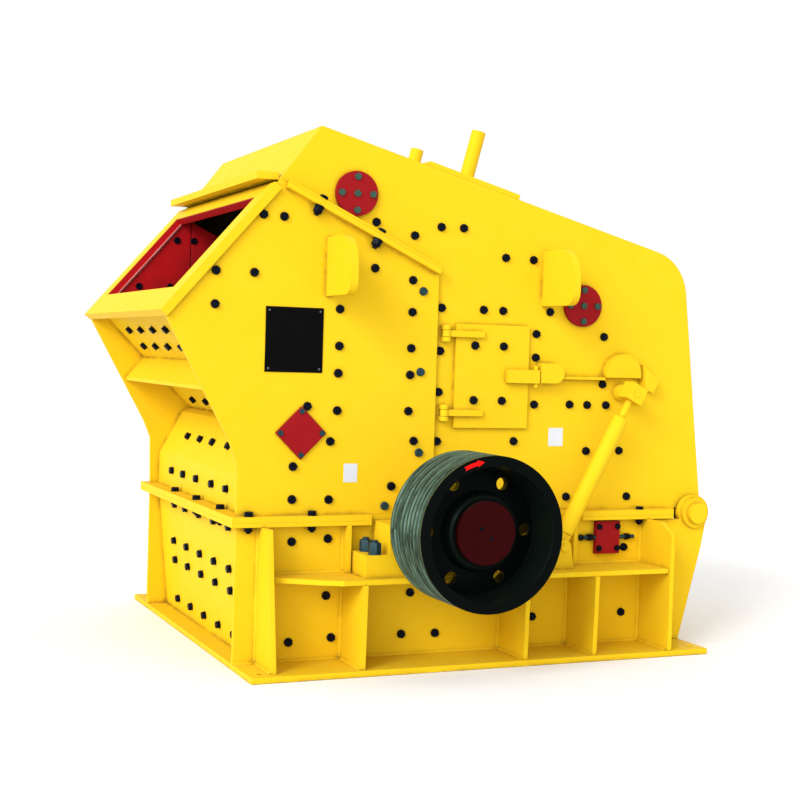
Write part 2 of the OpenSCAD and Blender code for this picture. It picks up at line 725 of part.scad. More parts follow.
module blow_bars() color([0.40, 0.40, 0.42]) translate([split_x, rotor_l / 2, axis_z])
    rotate([90, 0, 0]) linear_extrude(rotor_l) for (i = [0 : bar_n - 1])
        rotate(i * 360 / bar_n) polygon([[rotor_r - 310 + seat, -bar_t / 2],
            [rotor_r - 8, -bar_t / 2], [rotor_r - 1, 0], [rotor_r - 8, bar_t / 2],
            [rotor_r - 310 + seat, bar_t / 2]]);

groove_p = (pulley_w - 18) / groove_n;

// Half section of the pulley, radius first and distance from its inner face second
pulley_r = pulley_d / 2;
rim_t = 48;
module pulley_section() difference() {
    polygon([[shaft_d / 2 + fit, 60], [shaft_d / 2 + fit, hub_l], [hub_cap_d / 2 + 18, hub_l],
        [hub_cap_d / 2 + 30, hub_l - 12], [hub_cap_d / 2 + 44, 190], [pulley_r - rim_t - 16, 176],
        [pulley_r - rim_t - 6, pulley_w], [pulley_r, pulley_w], [pulley_r, 0],
        [pulley_r - rim_t, 0], [pulley_r - rim_t - 14, 140], [hub_cap_d / 2 + 26, 140],
        [hub_cap_d / 2 + 10, 60]]);
    for (i = [0 : groove_n - 1]) translate([pulley_r, 9 + (i + 0.5) * groove_p])
        polygon([[1, -groove_p * 0.4], [1, groove_p * 0.4], [-groove_h, groove_p * 0.18],
            [-groove_h, -groove_p * 0.18]]);
}

module pulley() color(dark) translate([split_x, pulley_y, axis_z]) difference() {
    rotate([90, 0, 0]) rotate_extrude($fn = 96) pulley_section();
    for (i = [0 : 5]) rotate([0, i * 60, 0]) translate([(hub_cap_d + pulley_d) / 4 - 5, 0, 0])
        rotate([90, 0, 0]) cylinder(h = pulley_w, d = 62);
}

module hub_cap() color([0.25, 0.03, 0.05])
    rod_y([split_x, axis_z], pulley_y - hub_l - 24, pulley_y - hub_l - seat, hub_cap_d);

// ---------------------------------------------------------------- opening jack

module jack_tube() color(yellow) translate([0, -jack_y, 0]) on_jack(jack_low) difference() {
    union() {
        translate([0, 0, 80]) cylinder(h = jack_tube_l - 80, d = jack_tube_d);
        translate([-30, -30, 0]) cube([60, 60, 90]);
        rotate([90, 0, 0]) cylinder(h = 2 * (foot_half - 3), d = 84, center = true);
    }
    translate([0, 0, 110]) cylinder(h = jack_len, d = jack_screw_d + 2 * jack_gap);
    rotate([90, 0, 0]) cylinder(h = 200, d = jack_pin_d + 2 * fit, center = true);
}

module jack_screw() color(yellow) translate([0, -jack_y, 0]) on_jack(jack_high) difference() {
    union() {
        translate([0, 0, -jack_len + 125]) cylinder(h = jack_len - 125, d = jack_screw_d);
        translate([-52, -jack_eye / 2, -48]) cube([104, jack_eye, 96]);
    }
    rotate([90, 0, 0]) cylinder(h = 200, d = jack_pin_d + 2 * fit, center = true);
}

base_flange();
lower_side();  // lower_side_drive
mirror([0, 1, 0]) lower_side();  // lower_side_free
lower_front_wall();
lower_rear_wall();
lower_flange();
stiffeners();  // stiffeners_drive
mirror([0, 1, 0]) stiffeners();  // stiffeners_free
bearing_shelves();
bearing_housings();
hinge_ears();
hinge_pins();
front_side();  // front_side_drive
mirror([0, 1, 0]) front_side();  // front_side_free
front_flange();
upper_front_wall();
feed_floor();
front_shelf();
inlet_frame();
feed_liners();
front_lifting_lugs();
diamond_covers();
adjuster_covers();
adjuster_screws();
name_plate();
jack_feet();
cover_side(true);  // cover_side_drive
mirror([0, 1, 0]) cover_side(false);  // cover_side_free
cover_roof();
cover_back();
cover_front_slope();
cover_flange();
roof_pad();
adjusting_rods();
front_apron();
rear_apron();
apron_axles();
axle_covers();
cover_lifting_lugs();
door_mounts();
jack_brackets();
inspection_door();
door_straps();
rotor_shaft();
rotor_discs();
blow_bars();
pulley();
hub_cap();
jack_tube();  // jack_tube_drive
mirror([0, 1, 0]) jack_tube();  // jack_tube_free
jack_screw();  // jack_screw_drive
mirror([0, 1, 0]) jack_screw();  // jack_screw_free
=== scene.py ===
"""Finishes, fasteners and studio for a bar-rotor impact crusher.

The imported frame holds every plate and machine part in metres: X runs from the feed end to
the hinge end, the drive side faces -Y and Z is up. The operators here paint those parts and
add what they carry: bolts, welds, linings, blank labels, and the mark on the pulley.
"""

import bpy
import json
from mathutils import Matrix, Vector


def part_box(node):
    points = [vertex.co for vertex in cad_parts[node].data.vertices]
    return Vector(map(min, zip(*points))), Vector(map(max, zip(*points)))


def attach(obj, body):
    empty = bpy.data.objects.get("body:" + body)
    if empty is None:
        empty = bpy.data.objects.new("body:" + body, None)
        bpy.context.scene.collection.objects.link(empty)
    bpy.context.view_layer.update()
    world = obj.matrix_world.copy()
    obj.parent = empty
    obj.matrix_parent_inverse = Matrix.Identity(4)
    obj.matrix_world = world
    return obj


bl_info = {
    "name": "Impact Crusher Dressing",
    "version": (1, 0, 0),
    "blender": (4, 5, 0),
    "location": "View3D > Sidebar > Crusher",
    "description": "Paints an impact crusher and adds its fasteners, welds and studio",
    "category": "Object",
}

import json
import math
import random

import bmesh
import bpy
from bpy.props import FloatProperty, FloatVectorProperty, PointerProperty
from bpy.types import Operator, Panel, PropertyGroup
from mathutils import Matrix, Vector
from mathutils.bvhtree import BVHTree

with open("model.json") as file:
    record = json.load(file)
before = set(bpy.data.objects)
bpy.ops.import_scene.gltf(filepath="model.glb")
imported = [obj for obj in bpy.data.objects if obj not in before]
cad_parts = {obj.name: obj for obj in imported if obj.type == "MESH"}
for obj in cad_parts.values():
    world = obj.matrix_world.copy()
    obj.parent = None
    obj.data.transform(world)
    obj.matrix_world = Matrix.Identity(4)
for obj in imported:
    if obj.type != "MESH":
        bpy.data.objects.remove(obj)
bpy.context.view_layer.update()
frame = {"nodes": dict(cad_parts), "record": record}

MM = 0.001
SIDES = ((-1, "drive"), (1, "free"))
OUTSIDE, ABOVE, BEHIND = 2.0, 4.0, 3.0    # places clear of the sides, the top and the rear
DOWN, UP = (0, 0, -1), (0, 0, 1)

# ------------ places on the frame

ROTOR_AXIS = Vector(
    next(j["pos_m"] for j in frame["record"]["behaviour"]["joints"] if j["name"] == "rotor_spin")
)
SIDE_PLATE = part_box("lower_side_drive")
FRONT_EDGE = SIDE_PLATE[0].x
SIDE_Y = -SIDE_PLATE[0].y                 # half width over the fixed side plates
COVER_Y = -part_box("apron_axles")[0].y     # half width over the cover's plates
JOINT_Z = ROTOR_AXIS.z
CHAMBER_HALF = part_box("feed_liners")[1].y + 0.0008    # half width inside the side plates
CHAMBER_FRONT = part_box("upper_front_wall")[1].x - 0.002
CHAMBER_MIDDLE = ROTOR_AXIS + Vector((0, 0, 0.60))    # every plate round it faces this point
GROOVE_DEPTH, GROOVE_CREST = 0.016, 0.013
PULLEY_ROOT = (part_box("pulley")[1].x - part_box("pulley")[0].x) / 2 - GROOVE_DEPTH

# Bolts through each plate, in millimetres. Front plates: distance behind the front edge and
# height above the joint. Lower plates: the same, above the floor. Cover plates: distance
# behind the split and height above the joint. Door: from its lower front corner.
FRONT_PLATE_BOLTS = (
    (-137, 1074), (-136, 1238), (60, 1237), (100, 1526), (207, 1522), (287, 109), (288, 275),
    (356, 579), (484, 402), (484, 106), (517, 559), (517, 749), (519, 887), (517, 1074),
    (556, 1410), (703, 1290), (828, 171), (912, 561), (916, 749), (918, 887), (919, 1074),
    (917, 1239), (947, 406),
)
SPLIT_LINE_BOLTS = ((794, 69), (979, 345), (975, 765), (978, 1184))
LOWER_PLATE_BOLTS = (
    (289, 127), (292, 636), (484, 356), (486, 647), (518, 140), (909, 138), (953, 354),
    (1103, 134), (1683, 194), (2246, 194), (2250, 558),
)
COVER_PLATE_BOLTS = (
    (-354, 1528), (-136, 1472), (15, 1525), (25, 403), (26, 662), (28, 878), (30, 1104),
    (145, 1527), (277, 1103), (393, 1102), (400, 1385), (481, 405), (568, 1382), (599, 604),
    (600, 858), (600, 985), (680, 1107), (817, 101), (820, 607), (931, 606), (934, 352),
    (1025, 721), (1025, 983), (1051, 606), (1146, 354), (1205, 98),
)
DOOR_BOLTS = ((111, 148), (279, 147), (111, 437), (281, 437))

# Bolts in metres along X and Z: through the liners beside the feed opening, and through the
# flanges of the sloping split, whose normal points up into the cover.
LINER_BOLTS = (
    (-1.429, 1.952), (-1.240, 1.956), (-1.204, 2.236), (-1.101, 2.238), (-0.860, 1.700),
    (-0.860, 2.080),
)
SLOPE_BOLTS = ((-0.924, 2.322), (-0.604, 2.175))
SLOPE_NORMAL = (0.4179, 0.0, 0.9085)

# Bolts of the level joint, in metres: behind the front edge of the side plates, across the
# machine with their distance from the end flange's edge, and behind the rotor's axis.
JOINT_SIDE_BOLTS = (0.055, 0.388)
JOINT_END_BOLTS, JOINT_END_INSET = (-0.580, -0.125, 0.330), 0.050
JOINT_REAR_BOLT = 1.262

# Bolts of the hinge end, in metres: across the machine, then up the cover's back above the
# joint, along its roof from the rotor's axis, and up the rear wall from the floor.
REAR_SPREAD = (-0.66, -0.22, 0.22, 0.66)
BACK_ROWS, ROOF_ROWS, WALL_ROWS = (0.36, 0.74, 1.12), (-0.42, 0.70, 1.02), (0.20, 0.50)

# Bolt rows of the feed end, in metres: node, a point (X, Z) that the row's rays pass through,
# their way in, and the places across the machine.
LEVEL, UNDER_FLOOR = (1, 0), (0.7164, 0.6977)
EVEN_SPREAD = (0.56, 0.28, 0.0, -0.28, -0.56)
END_BOLT_ROWS = (
    ("lower_front_wall", (-3.0, 0.110), LEVEL, EVEN_SPREAD),
    ("lower_front_wall", (-3.0, 0.341), LEVEL, EVEN_SPREAD),
    ("lower_front_wall", (-3.0, 0.455), LEVEL, EVEN_SPREAD),
    ("lower_front_wall", (-3.0, 0.679), LEVEL, (0.483, 0.249, -0.035, -0.324, -0.600)),
    ("upper_front_wall", (-3.0, 0.872), LEVEL, (0.535, 0.282, 0.007, -0.296, -0.565)),
    ("upper_front_wall", (-3.0, 1.076), LEVEL, (0.443, 0.181, -0.067, -0.365, -0.640)),
    ("feed_floor", (-1.535, 1.680), UNDER_FLOOR, EVEN_SPREAD),
    ("feed_floor", (-1.449, 1.590), UNDER_FLOOR, EVEN_SPREAD),
    ("feed_floor", (-1.146, 1.284), UNDER_FLOOR, EVEN_SPREAD),
)

# Where the rays that seat fasteners start, in metres: before the point of a feed end row, under
# and over a bolt of the sloping split, above the bearings' feet, and between the feed liners.
ROW_START, SLOPE_UNDER, SLOPE_OVER, FEET_START, LINER_START = 0.5, 0.2, 0.4, 0.9, 0.5

# Fastener sizes in metres. Heads on washers: washer's width and thickness, head's width
# across flats and height. Plain heads: width and height. Tall nuts: width, height and the
# length of stud that stands out. Round screws: width and height.
END_HEAD, JOINT_HEAD = (0.044, 0.004, 0.037, 0.019), (0.048, 0.004, 0.040, 0.020)
AXLE_COVER_HEAD, ADJUSTER_COVER_HEAD = (0.033, 0.011), (0.030, 0.012)
DIAMOND_COVER_HEAD, LINER_HEAD = (0.026, 0.009), (0.038, 0.010)
SLOPE_NUT, BEARING_NUT = (0.046, 0.034, 0.014), (0.058, 0.056, 0.012)
NAME_PLATE_SCREW, HUB_SCREW = (0.012, 0.003), (0.019, 0.006)
WASHER_SIDES, STUD_SIDES, SCREW_SIDES = 28, 20, 24

# Bolts of the small covers, from the middle of each cover or in from its tips and corners.
AXLE_BOLT_CIRCLE, ADJUSTER_BOLT_X, ADJUSTER_BOLT_Z = 0.085, 0.058, 0.060
DIAMOND_INSET, NAME_PLATE_INSET = 0.024, 0.018

# Nuts on an adjuster screw: place along it from its middle, width across flats, thickness.
ADJUSTER_NUTS = ((-0.171, 0.030, 0.016), (-0.126, 0.031, 0.034), (0.114, 0.031, 0.030))
ADJUSTER_STUD = 0.030                    # length of thread beyond each end of the screw

BEARING_NUT_REACH = 0.405                # along X from the rotor's axis
BEARING_NUT_ROWS = (0.985, 1.105)        # from the machine's middle

INWARD = (0.757, 0.0, -0.6534)           # into the feed opening, square to its frame
LINING_THICK = 0.004
LINING_SET_BACK = 0.003                  # of the lining strips behind the frame's face
LINING_WELD_LEG = 0.011
WELD_RIPPLE = 0.011                      # spacing of the ripples along a weld
STIFFENER_WELD_STOP = 0.020              # from a stiffener's free edge to its weld's end

# Blank labels: name, middle along X and Z, width, height, distance of the plate's skin from
# the machine's middle, and the body that carries the plate.
LABELS = (
    ("label_front", FRONT_EDGE + 0.600, JOINT_Z + 0.241, 0.075, 0.096, SIDE_Y, "frame"),
    ("label_cover", ROTOR_AXIS.x + 0.741, JOINT_Z + 0.428, 0.090, 0.100, COVER_Y, "cover"),
)

# Turning arrow on the pulley's face: radius, half width of its shaft, and the angles of its
# tail, neck, tip and tail notch. Then the hub cap's two screws: radius and angles.
ARROW_RADIUS, ARROW_HALF, ARROW_STEPS = 0.357, 0.0095, 10
ARROW_TAIL, ARROW_NECK, ARROW_TIP, ARROW_NOTCH = (math.radians(a) for a in (27, 15, 9, 1.4))
HUB_SCREW_RADIUS, HUB_SCREW_ANGLES = 0.037, (142, -47)

# Studio: each sun's name, direction, strength and angular size, then the camera.
SUNS = (
    ("key", (-0.74, -0.50, 0.52), 2.0, 24.0),
    ("fill", (0.25, -0.80, 0.50), 0.15, 50.0),
    ("low", (-0.55, -0.83, 0.10), 1.3, 40.0),
    ("left", (-0.95, -0.12, 0.28), 0.7, 20.0),
)
CAMERA_PLACE = (-3.408, -7.683, 1.600)
CAMERA_YAW, CAMERA_PITCH, CAMERA_ROLL = (math.radians(a) for a in (23.6158, -1.8739, 1.7235))
CAMERA_LENS, CAMERA_SENSOR = 64.41, 36.0
FLOOR_RADII, FLOOR_FALL = (0.01, 3.0, 12.0, 60.0), 0.002


def part_boxes(node):
    """Lowest and highest corners of each separate solid of a CAD node, along X."""
    mesh = frame["nodes"][node].data
    corner, owner = {}, []
    for vertex in mesh.vertices:
        key = tuple(round(c, 5) for c in vertex.co)
        owner.append(corner.setdefault(key, len(corner)))
    parent = list(range(len(corner)))

    def root(i):
        while parent[i] != i:
            parent[i] = parent[parent[i]]
            i = parent[i]
        return i

    for edge in mesh.edges:
        a, b = (root(owner[v]) for v in edge.vertices)
        parent[a] = b
    solids = {}
    for place, index in corner.items():
        solids.setdefault(root(index), []).append(place)
    boxes = [[[way(c) for c in zip(*places)] for way in (min, max)] for places in solids.values()]
    return [(Vector(low), Vector(high)) for low, high in sorted(boxes)]


_skins = {}


def seat(node, start, direction):
    """Where a fastener driven from start along direction meets the skin of a CAD node."""
    if node not in _skins:
        mesh = frame["nodes"][node].data
        _skins[node] = BVHTree.FromPolygons(
            [v.co.copy() for v in mesh.vertices], [tuple(p.vertices) for p in mesh.polygons]
        )
    hit, normal, _, _ = _skins[node].ray_cast(Vector(start), Vector(direction).normalized())
    if hit is None:
        raise RuntimeError(f"nothing of {node} lies along {direction} from {start}")
    return hit, normal if normal.dot(Vector(direction)) < 0 else -normal


def side_seat(node, x, z, side=-1):
    """The seat of a fastener driven square into the drive side (-1) or the free side (1)."""
    return seat(node, (x, side * OUTSIDE, z), (0, -side, 0))


def side_places(node, offsets, x0, z0, side):
    """Seats of a plate's bolts, given in millimetres from x0 and z0."""
    return [side_seat(node, x0 + x * MM, z0 + z * MM, side) for x, z in offsets]


# ------------ mesh shapes


def ring(radius, height, count):
    """Points evenly round a circle."""
    turns = (2 * math.pi * i / count for i in range(count))
    return [(radius * math.cos(a), radius * math.sin(a), height) for a in turns]


def hex_ring(flats, height, per_side=3):
    """Points along a hexagon of that width across flats, with per_side points to a side."""
    corners = ring(flats / math.sqrt(3), height, 6)
    points = []
    for i, start in enumerate(corners):
        end = corners[(i + 1) % 6]
        for k in range(per_side):
            points.append(tuple(a + (b - a) * k / per_side for a, b in zip(start, end)))
    return points


def stacked(rings, cap=True):
    """Vertices and faces of a solid skinned over rings of the same number of points."""
    count = len(rings[0])
    points = [p for r in rings for p in r]
    faces = []
    for level in range(len(rings) - 1):
        a, b = level * count, (level + 1) * count
        faces += [(a + i, a + (i + 1) % count, b + (i + 1) % count, b + i) for i in range(count)]
    if cap:
        faces.append(tuple(len(points) - count + i for i in range(count)))
        faces.append(tuple(reversed(range(count))))
    return points, faces


def joined(*shapes):
    """Several shapes as one, each keeping its own faces."""
    points, faces = [], []
    for more_points, more_faces in shapes:
        base = len(points)
        points += more_points
        faces += [tuple(base + i for i in face) for face in more_faces]
    return points, faces


def washer(across, thick):
    """A flat washer with a chamfered upper rim."""
    r, edge = across / 2, thick * 0.25
    return stacked([ring(radius, z, WASHER_SIDES)
                    for radius, z in ((r, 0), (r, thick - edge), (r - edge, thick))])


def hex_head(flats, height, base=0.0):
    """A chamfered hexagon head with a shallow dished top."""
    top, per_side = base + height, 3
    rings = [hex_ring(flats, base, per_side), hex_ring(flats, top - 0.12 * height, per_side)]
    for share, sink in ((0.485, 0.0), (0.40, 0.0), (0.37, 0.04)):
        rings.append(ring(flats * share, top - sink * height, 6 * per_side))
    return stacked(rings)


def stud_end(across, start, end):
    """The threaded end of a stud, with turned-down thread crests and a chamfered tip."""
    pitch, z = 0.1 * across, start
    profile = [(across / 2, start)]
    while z + pitch < end - pitch:
        profile += [(across * 0.46, z + pitch / 2), (across / 2, z + pitch)]
        z += pitch
    profile += [(across / 2, end - 0.08 * across), (across * 0.42, end)]
    return stacked([ring(radius, height, STUD_SIDES) for radius, height in profile])


def bolt_shape(looks):
    """A plate bolt's head on its washer."""
    return capped(looks.washer_across, looks.washer_thick, looks.head_flats, looks.head_height)


def capped(across, thick, flats, height):
    """A hexagon head of that height on a washer."""
    return joined(washer(across, thick), hex_head(flats, height, thick))


def nut_shape(looks):
    """A nut on its washer, with a short end of its bolt."""
    flats, thick = looks.head_flats, looks.washer_thick
    height = flats * 0.55
    return joined(
        capped(looks.washer_across, thick, flats, height),
        stud_end(flats * 0.62, thick + height * 0.9, thick + height + 0.009),
    )


def tall_nut(flats, height, stud, thick=0.004):
    """A deep nut on a washer, with the end of its stud standing out of it."""
    return joined(
        capped(flats * 1.15, thick, flats, height),
        stud_end(flats * 0.6, height * 0.95, height + thick + stud),
    )


def screw_shape(across, height):
    """A round-headed screw with a hexagon socket."""
    profile = ((0.5, 0), (0.5, 0.55), (0.46, 0.85), (0.36, 1), (0.24, 1), (0.22, 0.45))
    return stacked([ring(across * r, height * z, SCREW_SIDES) for r, z in profile])


def placed(shape, at, normal, turn=0.0):
    """A shape stood on a surface at a point, its own Z along the normal."""
    stand = Vector(normal).to_track_quat("Z", "Y").to_matrix().to_4x4()
    turned = Matrix.Translation(at) @ stand @ Matrix.Rotation(turn, 4, "Z")
    points, faces = shape
    return [tuple(turned @ Vector(p)) for p in points], faces


def piece(name, shapes, paint, body, sharp=32):
    """One joined mesh object of these shapes, painted and riding on a CAD body."""
    points, faces = joined(*shapes)
    mesh = bpy.data.meshes.new(name)
    mesh.from_pydata(points, [], faces)
    mesh.validate()
    mesh.polygons.foreach_set("use_smooth", [True] * len(mesh.polygons))
    mesh.set_sharp_from_angle(angle=math.radians(sharp))
    mesh.materials.append(finish(paint))
    made = bpy.data.objects.new(name, mesh)
    bpy.context.scene.collection.objects.link(made)
    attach(made, body)


def fastened(name, shape, places, paint, body, seed=1):
    """Copies of one fastener at (point, normal) places, each turned at random."""
    chance = random.Random(seed)
    shapes = [placed(shape, at, normal, chance.uniform(0, math.pi / 3)) for at, normal in places]
    piece(name, shapes, paint, body)


def hull(points):
    """The flat-faced solid that stretches over these points."""
    shell = bmesh.new()
    for p in points:
        shell.verts.new(p)
    bmesh.ops.convex_hull(shell, input=shell.verts)
    bmesh.ops.dissolve_limit(shell, angle_limit=0.01, verts=shell.verts, edges=shell.edges)
    shell.verts.index_update()
    found = [tuple(v.co) for v in shell.verts]
    faces = [tuple(v.index for v in f.verts) for f in shell.faces]
    shell.free()
    return found, faces


def flat_box(low, high, edge):
    """A box with chamfered edges."""
    points = []
    for axis in range(3):
        for corner in range(8):
            ends = [(corner >> k) & 1 for k in range(3)]
            points.append(tuple(
                (high if ends[k] else low)[k] + (0 if k == axis else edge * (1 - 2 * ends[k]))
                for k in range(3)
            ))
    return hull(points)


def weld_bead(start, end, side_a, side_b, leg, chance):
    """A rippled fillet between two plates that meet along start to end."""
    start, end = Vector(start), Vector(end)
    side_a, side_b = Vector(side_a).normalized(), Vector(side_b).normalized()
    steps = max(2, round((end - start).length / WELD_RIPPLE))
    rings = []
    for i in range(steps + 1):
        at = start.lerp(end, i / steps)
        swell = leg * (1.0 + (0.10 if i % 2 else -0.04) + chance.uniform(-0.05, 0.05))
        root = leg * 0.2
        outline = (
            (-leg * 0.3, -leg * 0.3), (swell, -root), (swell * 0.72, swell * 0.34),
            (swell * 0.34, swell * 0.72), (-root, swell),
        )
        rings.append([tuple(at + side_a * a + side_b * b) for a, b in outline])
    return stacked(rings)


# ------------ shader nodes


def feed(tree, socket, value):
    """Links a socket to the one that feeds it, or sets it to a plain value."""
    if isinstance(value, bpy.types.NodeSocket):
        tree.links.new(value, socket)
    else:
        socket.default_value = value


def add(tree, kind, inputs=None, **settings):
    """The outputs of a new node with its settings and fed inputs."""
    made = tree.nodes.new(kind)
    for key, value in settings.items():
        setattr(made, key, value)
    for key, value in (inputs or {}).items():
        feed(tree, made.inputs[key], value)
    return made.outputs


def figure(tree, operation, *values):
    """The result of a sum on numbers."""
    return add(tree, "ShaderNodeMath", dict(enumerate(values)), operation=operation)[0]


def vector_figure(tree, operation, *values):
    """The result of a sum on vectors."""
    made = add(tree, "ShaderNodeVectorMath", dict(enumerate(values)), operation=operation)
    return made["Value" if operation in ("DOT_PRODUCT", "LENGTH") else "Vector"]


def product(tree, mask, *others):
    """Masks multiplied together."""
    for other in others:
        mask = figure(tree, "MULTIPLY", mask, other)
    return mask


def mapped(tree, value, start, end):
    """0 where a value is at start, 1 where it is at end."""
    ends = {"Value": value, "From Min": start, "From Max": end}
    return add(tree, "ShaderNodeMapRange", ends)["Result"]


def ranged(tree, value, low, high):
    """low where a value is 0, high where it is 1."""
    ends = {"Value": value, "To Min": low, "To Max": high}
    return add(tree, "ShaderNodeMapRange", ends)["Result"]


def noise(tree, place, scale, detail, roughness=0.5, distortion=0.0):
    """Cloudy noise from 0 to 1."""
    values = {"Vector": place, "Scale": scale, "Detail": detail, "Roughness": roughness}
    return add(tree, "ShaderNodeTexNoise", {**values, "Distortion": distortion})["Fac"]


def coordinates(tree):
    """The place on the object and the way that its skin faces."""
    made = add(tree, "ShaderNodeTexCoord")
    return made["Object"], made["Normal"]


def split(tree, vector):
    """A vector's X, Y and Z."""
    return add(tree, "ShaderNodeSeparateXYZ", {"Vector": vector})


def blended(tree, amount, under, over):
    """Colour under, covered by colour over where amount is 1."""
    colours = {0: amount, 6: under, 7: over}
    return add(tree, "ShaderNodeMix", colours, data_type="RGBA")[2]


def arrange(tree):
    """Sets a tree's nodes out in columns, each to the left of the nodes that it feeds."""
    column = {node.name: 0 for node in tree.nodes}
    for _ in column:
        for link in tree.links:
            fed, feeder = link.to_node.name, link.from_node.name
            column[feeder] = max(column[feeder], column[fed] + 1)
    rows = {}
    for name, steps in column.items():
        rows[steps] = rows.get(steps, 0) + 1
        tree.nodes[name].location = (-220 * steps, -280 * rows[steps])


# ------------ shared effects


def new_group(name, inputs):
    """An empty node group and its inputs, made from {name: (default, lowest, highest)}."""
    tree = bpy.data.node_groups.new(name, "ShaderNodeTree")
    for label, (default, low, high) in inputs.items():
        kind = "NodeSocketVector" if isinstance(default, tuple) else "NodeSocketFloat"
        socket = tree.interface.new_socket(name=label, in_out="INPUT", socket_type=kind)
        socket.default_value = default
        socket.min_value, socket.max_value = low, high
    return tree, tree.nodes.new("NodeGroupInput").outputs


def close_group(tree, results):
    """Gives a group its outputs: each is a number or a vector, as the socket that feeds it."""
    for label, value in results.items():
        kind = "NodeSocketVector" if value.type == "VECTOR" else "NodeSocketFloat"
        tree.interface.new_socket(name=label, in_out="OUTPUT", socket_type=kind)
    out = tree.nodes.new("NodeGroupOutput")
    for label, value in results.items():
        tree.links.new(value, out.inputs[label])
    arrange(tree)
    return tree


def paint_film_group(name):
    """Sprayed enamel: an uneven tone, a fine orange-peel height and thin runs."""
    sizes = {"Cloud size": (0.8, 0.05, 20.0), "Peel size": (150.0, 10.0, 900.0)}
    tree, given = new_group(name, sizes)
    place, _ = coordinates(tree)
    cloud = noise(tree, place, given["Cloud size"], 4.0, distortion=0.4)
    passes = noise(tree, place, 9.0, 3.0, 0.6)
    peel = noise(tree, place, given["Peel size"], 1.5)
    tone = figure(tree, "ADD", cloud, passes)
    slow = figure(tree, "MULTIPLY", passes, 0.5)
    return close_group(tree, {
        "Tone": mapped(tree, tone, 0.7, 1.3),
        "Height": figure(tree, "ADD", peel, slow),
        "Gloss": passes,
    })


def edge_group(name):
    """Where a corner's paint is thin, where it has chipped, and the rounded corner's normal."""
    tree, given = new_group(name, {"Width": (0.004, 0.0, 0.05), "Chips": (0.3, 0.0, 1.0)})
    place, _ = coordinates(tree)
    width = {"Radius": given["Width"]}
    rounded = add(tree, "ShaderNodeBevel", width, samples=4)["Normal"]
    flat = add(tree, "ShaderNodeNewGeometry")["Normal"]
    lean = vector_figure(tree, "DOT_PRODUCT", rounded, flat)
    edge = mapped(tree, lean, 0.995, 0.86)
    grit = noise(tree, place, 55.0, 5.0, 0.65)
    limit = ranged(tree, given["Chips"], 0.80, 0.42)
    over = figure(tree, "GREATER_THAN", grit, limit)
    chipped = product(tree, edge, over)
    return close_group(tree, {"Edge": edge, "Chipped": chipped, "Rounded": rounded})


def crease_shade_group(name):
    """Painted brown shade held in the corners between plates and round the fasteners."""
    tree, given = new_group(name, {"Reach": (0.04, 0.001, 0.5), "Amount": (0.6, 0.0, 1.0)})
    place, _ = coordinates(tree)
    reach = {"Distance": given["Reach"]}
    open_sky = add(tree, "ShaderNodeAmbientOcclusion", reach, samples=6)["AO"]
    # Painted shade: darker where the surroundings hide the sky.
    tucked = mapped(tree, open_sky, 0.80, 0.45)
    uneven = noise(tree, place, 7.0, 6.0, 0.7)
    held = mapped(tree, uneven, 0.36, 0.62)
    return close_group(tree, {"Mask": product(tree, tucked, held, given["Amount"])})


def chamber_shade_group(name):
    """Where a plate faces the crushing chamber: the mask of its painted near-black shade."""
    tree, given = new_group(name, {"Amount": (1.0, 0.0, 1.0)})
    place, normal = coordinates(tree)
    inward = vector_figure(tree, "SUBTRACT", tuple(CHAMBER_MIDDLE), place)
    facing = vector_figure(tree, "DOT_PRODUCT", inward, normal)
    turned = mapped(tree, facing, 0.10, 0.16)
    along = split(tree, place)
    half = figure(tree, "ABSOLUTE", along["Y"])
    between = figure(tree, "LESS_THAN", half, CHAMBER_HALF)
    behind = figure(tree, "GREATER_THAN", along["X"], CHAMBER_FRONT)
    mask = product(tree, turned, between, behind, given["Amount"])
    return close_group(tree, {"Mask": mask})


def dust_group(name):
    """Stone dust that settles on upward faces in patches."""
    tree, given = new_group(name, {"Amount": (0.2, 0.0, 1.0)})
    place, normal = coordinates(tree)
    level = mapped(tree, split(tree, normal)["Z"], 0.55, 1.0)
    patches = noise(tree, place, 4.5, 7.0, 0.7)
    broken = mapped(tree, patches, 0.38, 0.68)
    return close_group(tree, {"Mask": product(tree, level, broken, given["Amount"])})


def metal_skin_group(name):
    """Cast or rolled steel: mottled tone, pitted height and scratches along one axis."""
    sizes = {"Mottle size": (20.0, 1.0, 400.0), "Stretch": ((1.0, 1.0, 1.0), 0.0, 100.0)}
    tree, given = new_group(name, sizes)
    place, _ = coordinates(tree)
    drawn = vector_figure(tree, "MULTIPLY", place, given["Stretch"])
    mottle = noise(tree, place, given["Mottle size"], 6.0, 0.62)
    cells = {"Vector": place, "Scale": 120.0}
    pits = add(tree, "ShaderNodeTexVoronoi", cells, feature="SMOOTH_F1")["Distance"]
    scratch = noise(tree, drawn, 60.0, 4.0, 0.7)
    height = figure(tree, "ADD", mottle, pits)
    return close_group(tree, {"Tone": mottle, "Height": height, "Scratch": scratch})


EFFECTS = {
    "Sprayed paint film": paint_film_group,
    "Worn edges": edge_group,
    "Creased grime": crease_shade_group,
    "Chamber soot": chamber_shade_group,
    "Settled dust": dust_group,
    "Steel skin": metal_skin_group,
}


def use(tree, name, inputs=None):
    """A shared effect's outputs; the effect is built the first time that it is asked for."""
    group = bpy.data.node_groups.get(name) or EFFECTS[name](name)
    return add(tree, "ShaderNodeGroup", inputs, node_tree=group)


# ------------ finishes

DUST = (0.56, 0.50, 0.38, 1.0)
BARE_STEEL = (0.16, 0.15, 0.145, 1.0)
# Painted shade in the creases between plates.
CREASE_SHADE = (0.16, 0.075, 0.012, 1.0)
# Painted near-black shade inside the crushing chamber.
CHAMBER_SHADE = (0.010, 0.008, 0.007, 1.0)


def rgba(colour, gain=1.0):
    """A colour made brighter or darker by gain, with its alpha."""
    return (*(min(1.0, c * gain) for c in colour[:3]), 1.0)


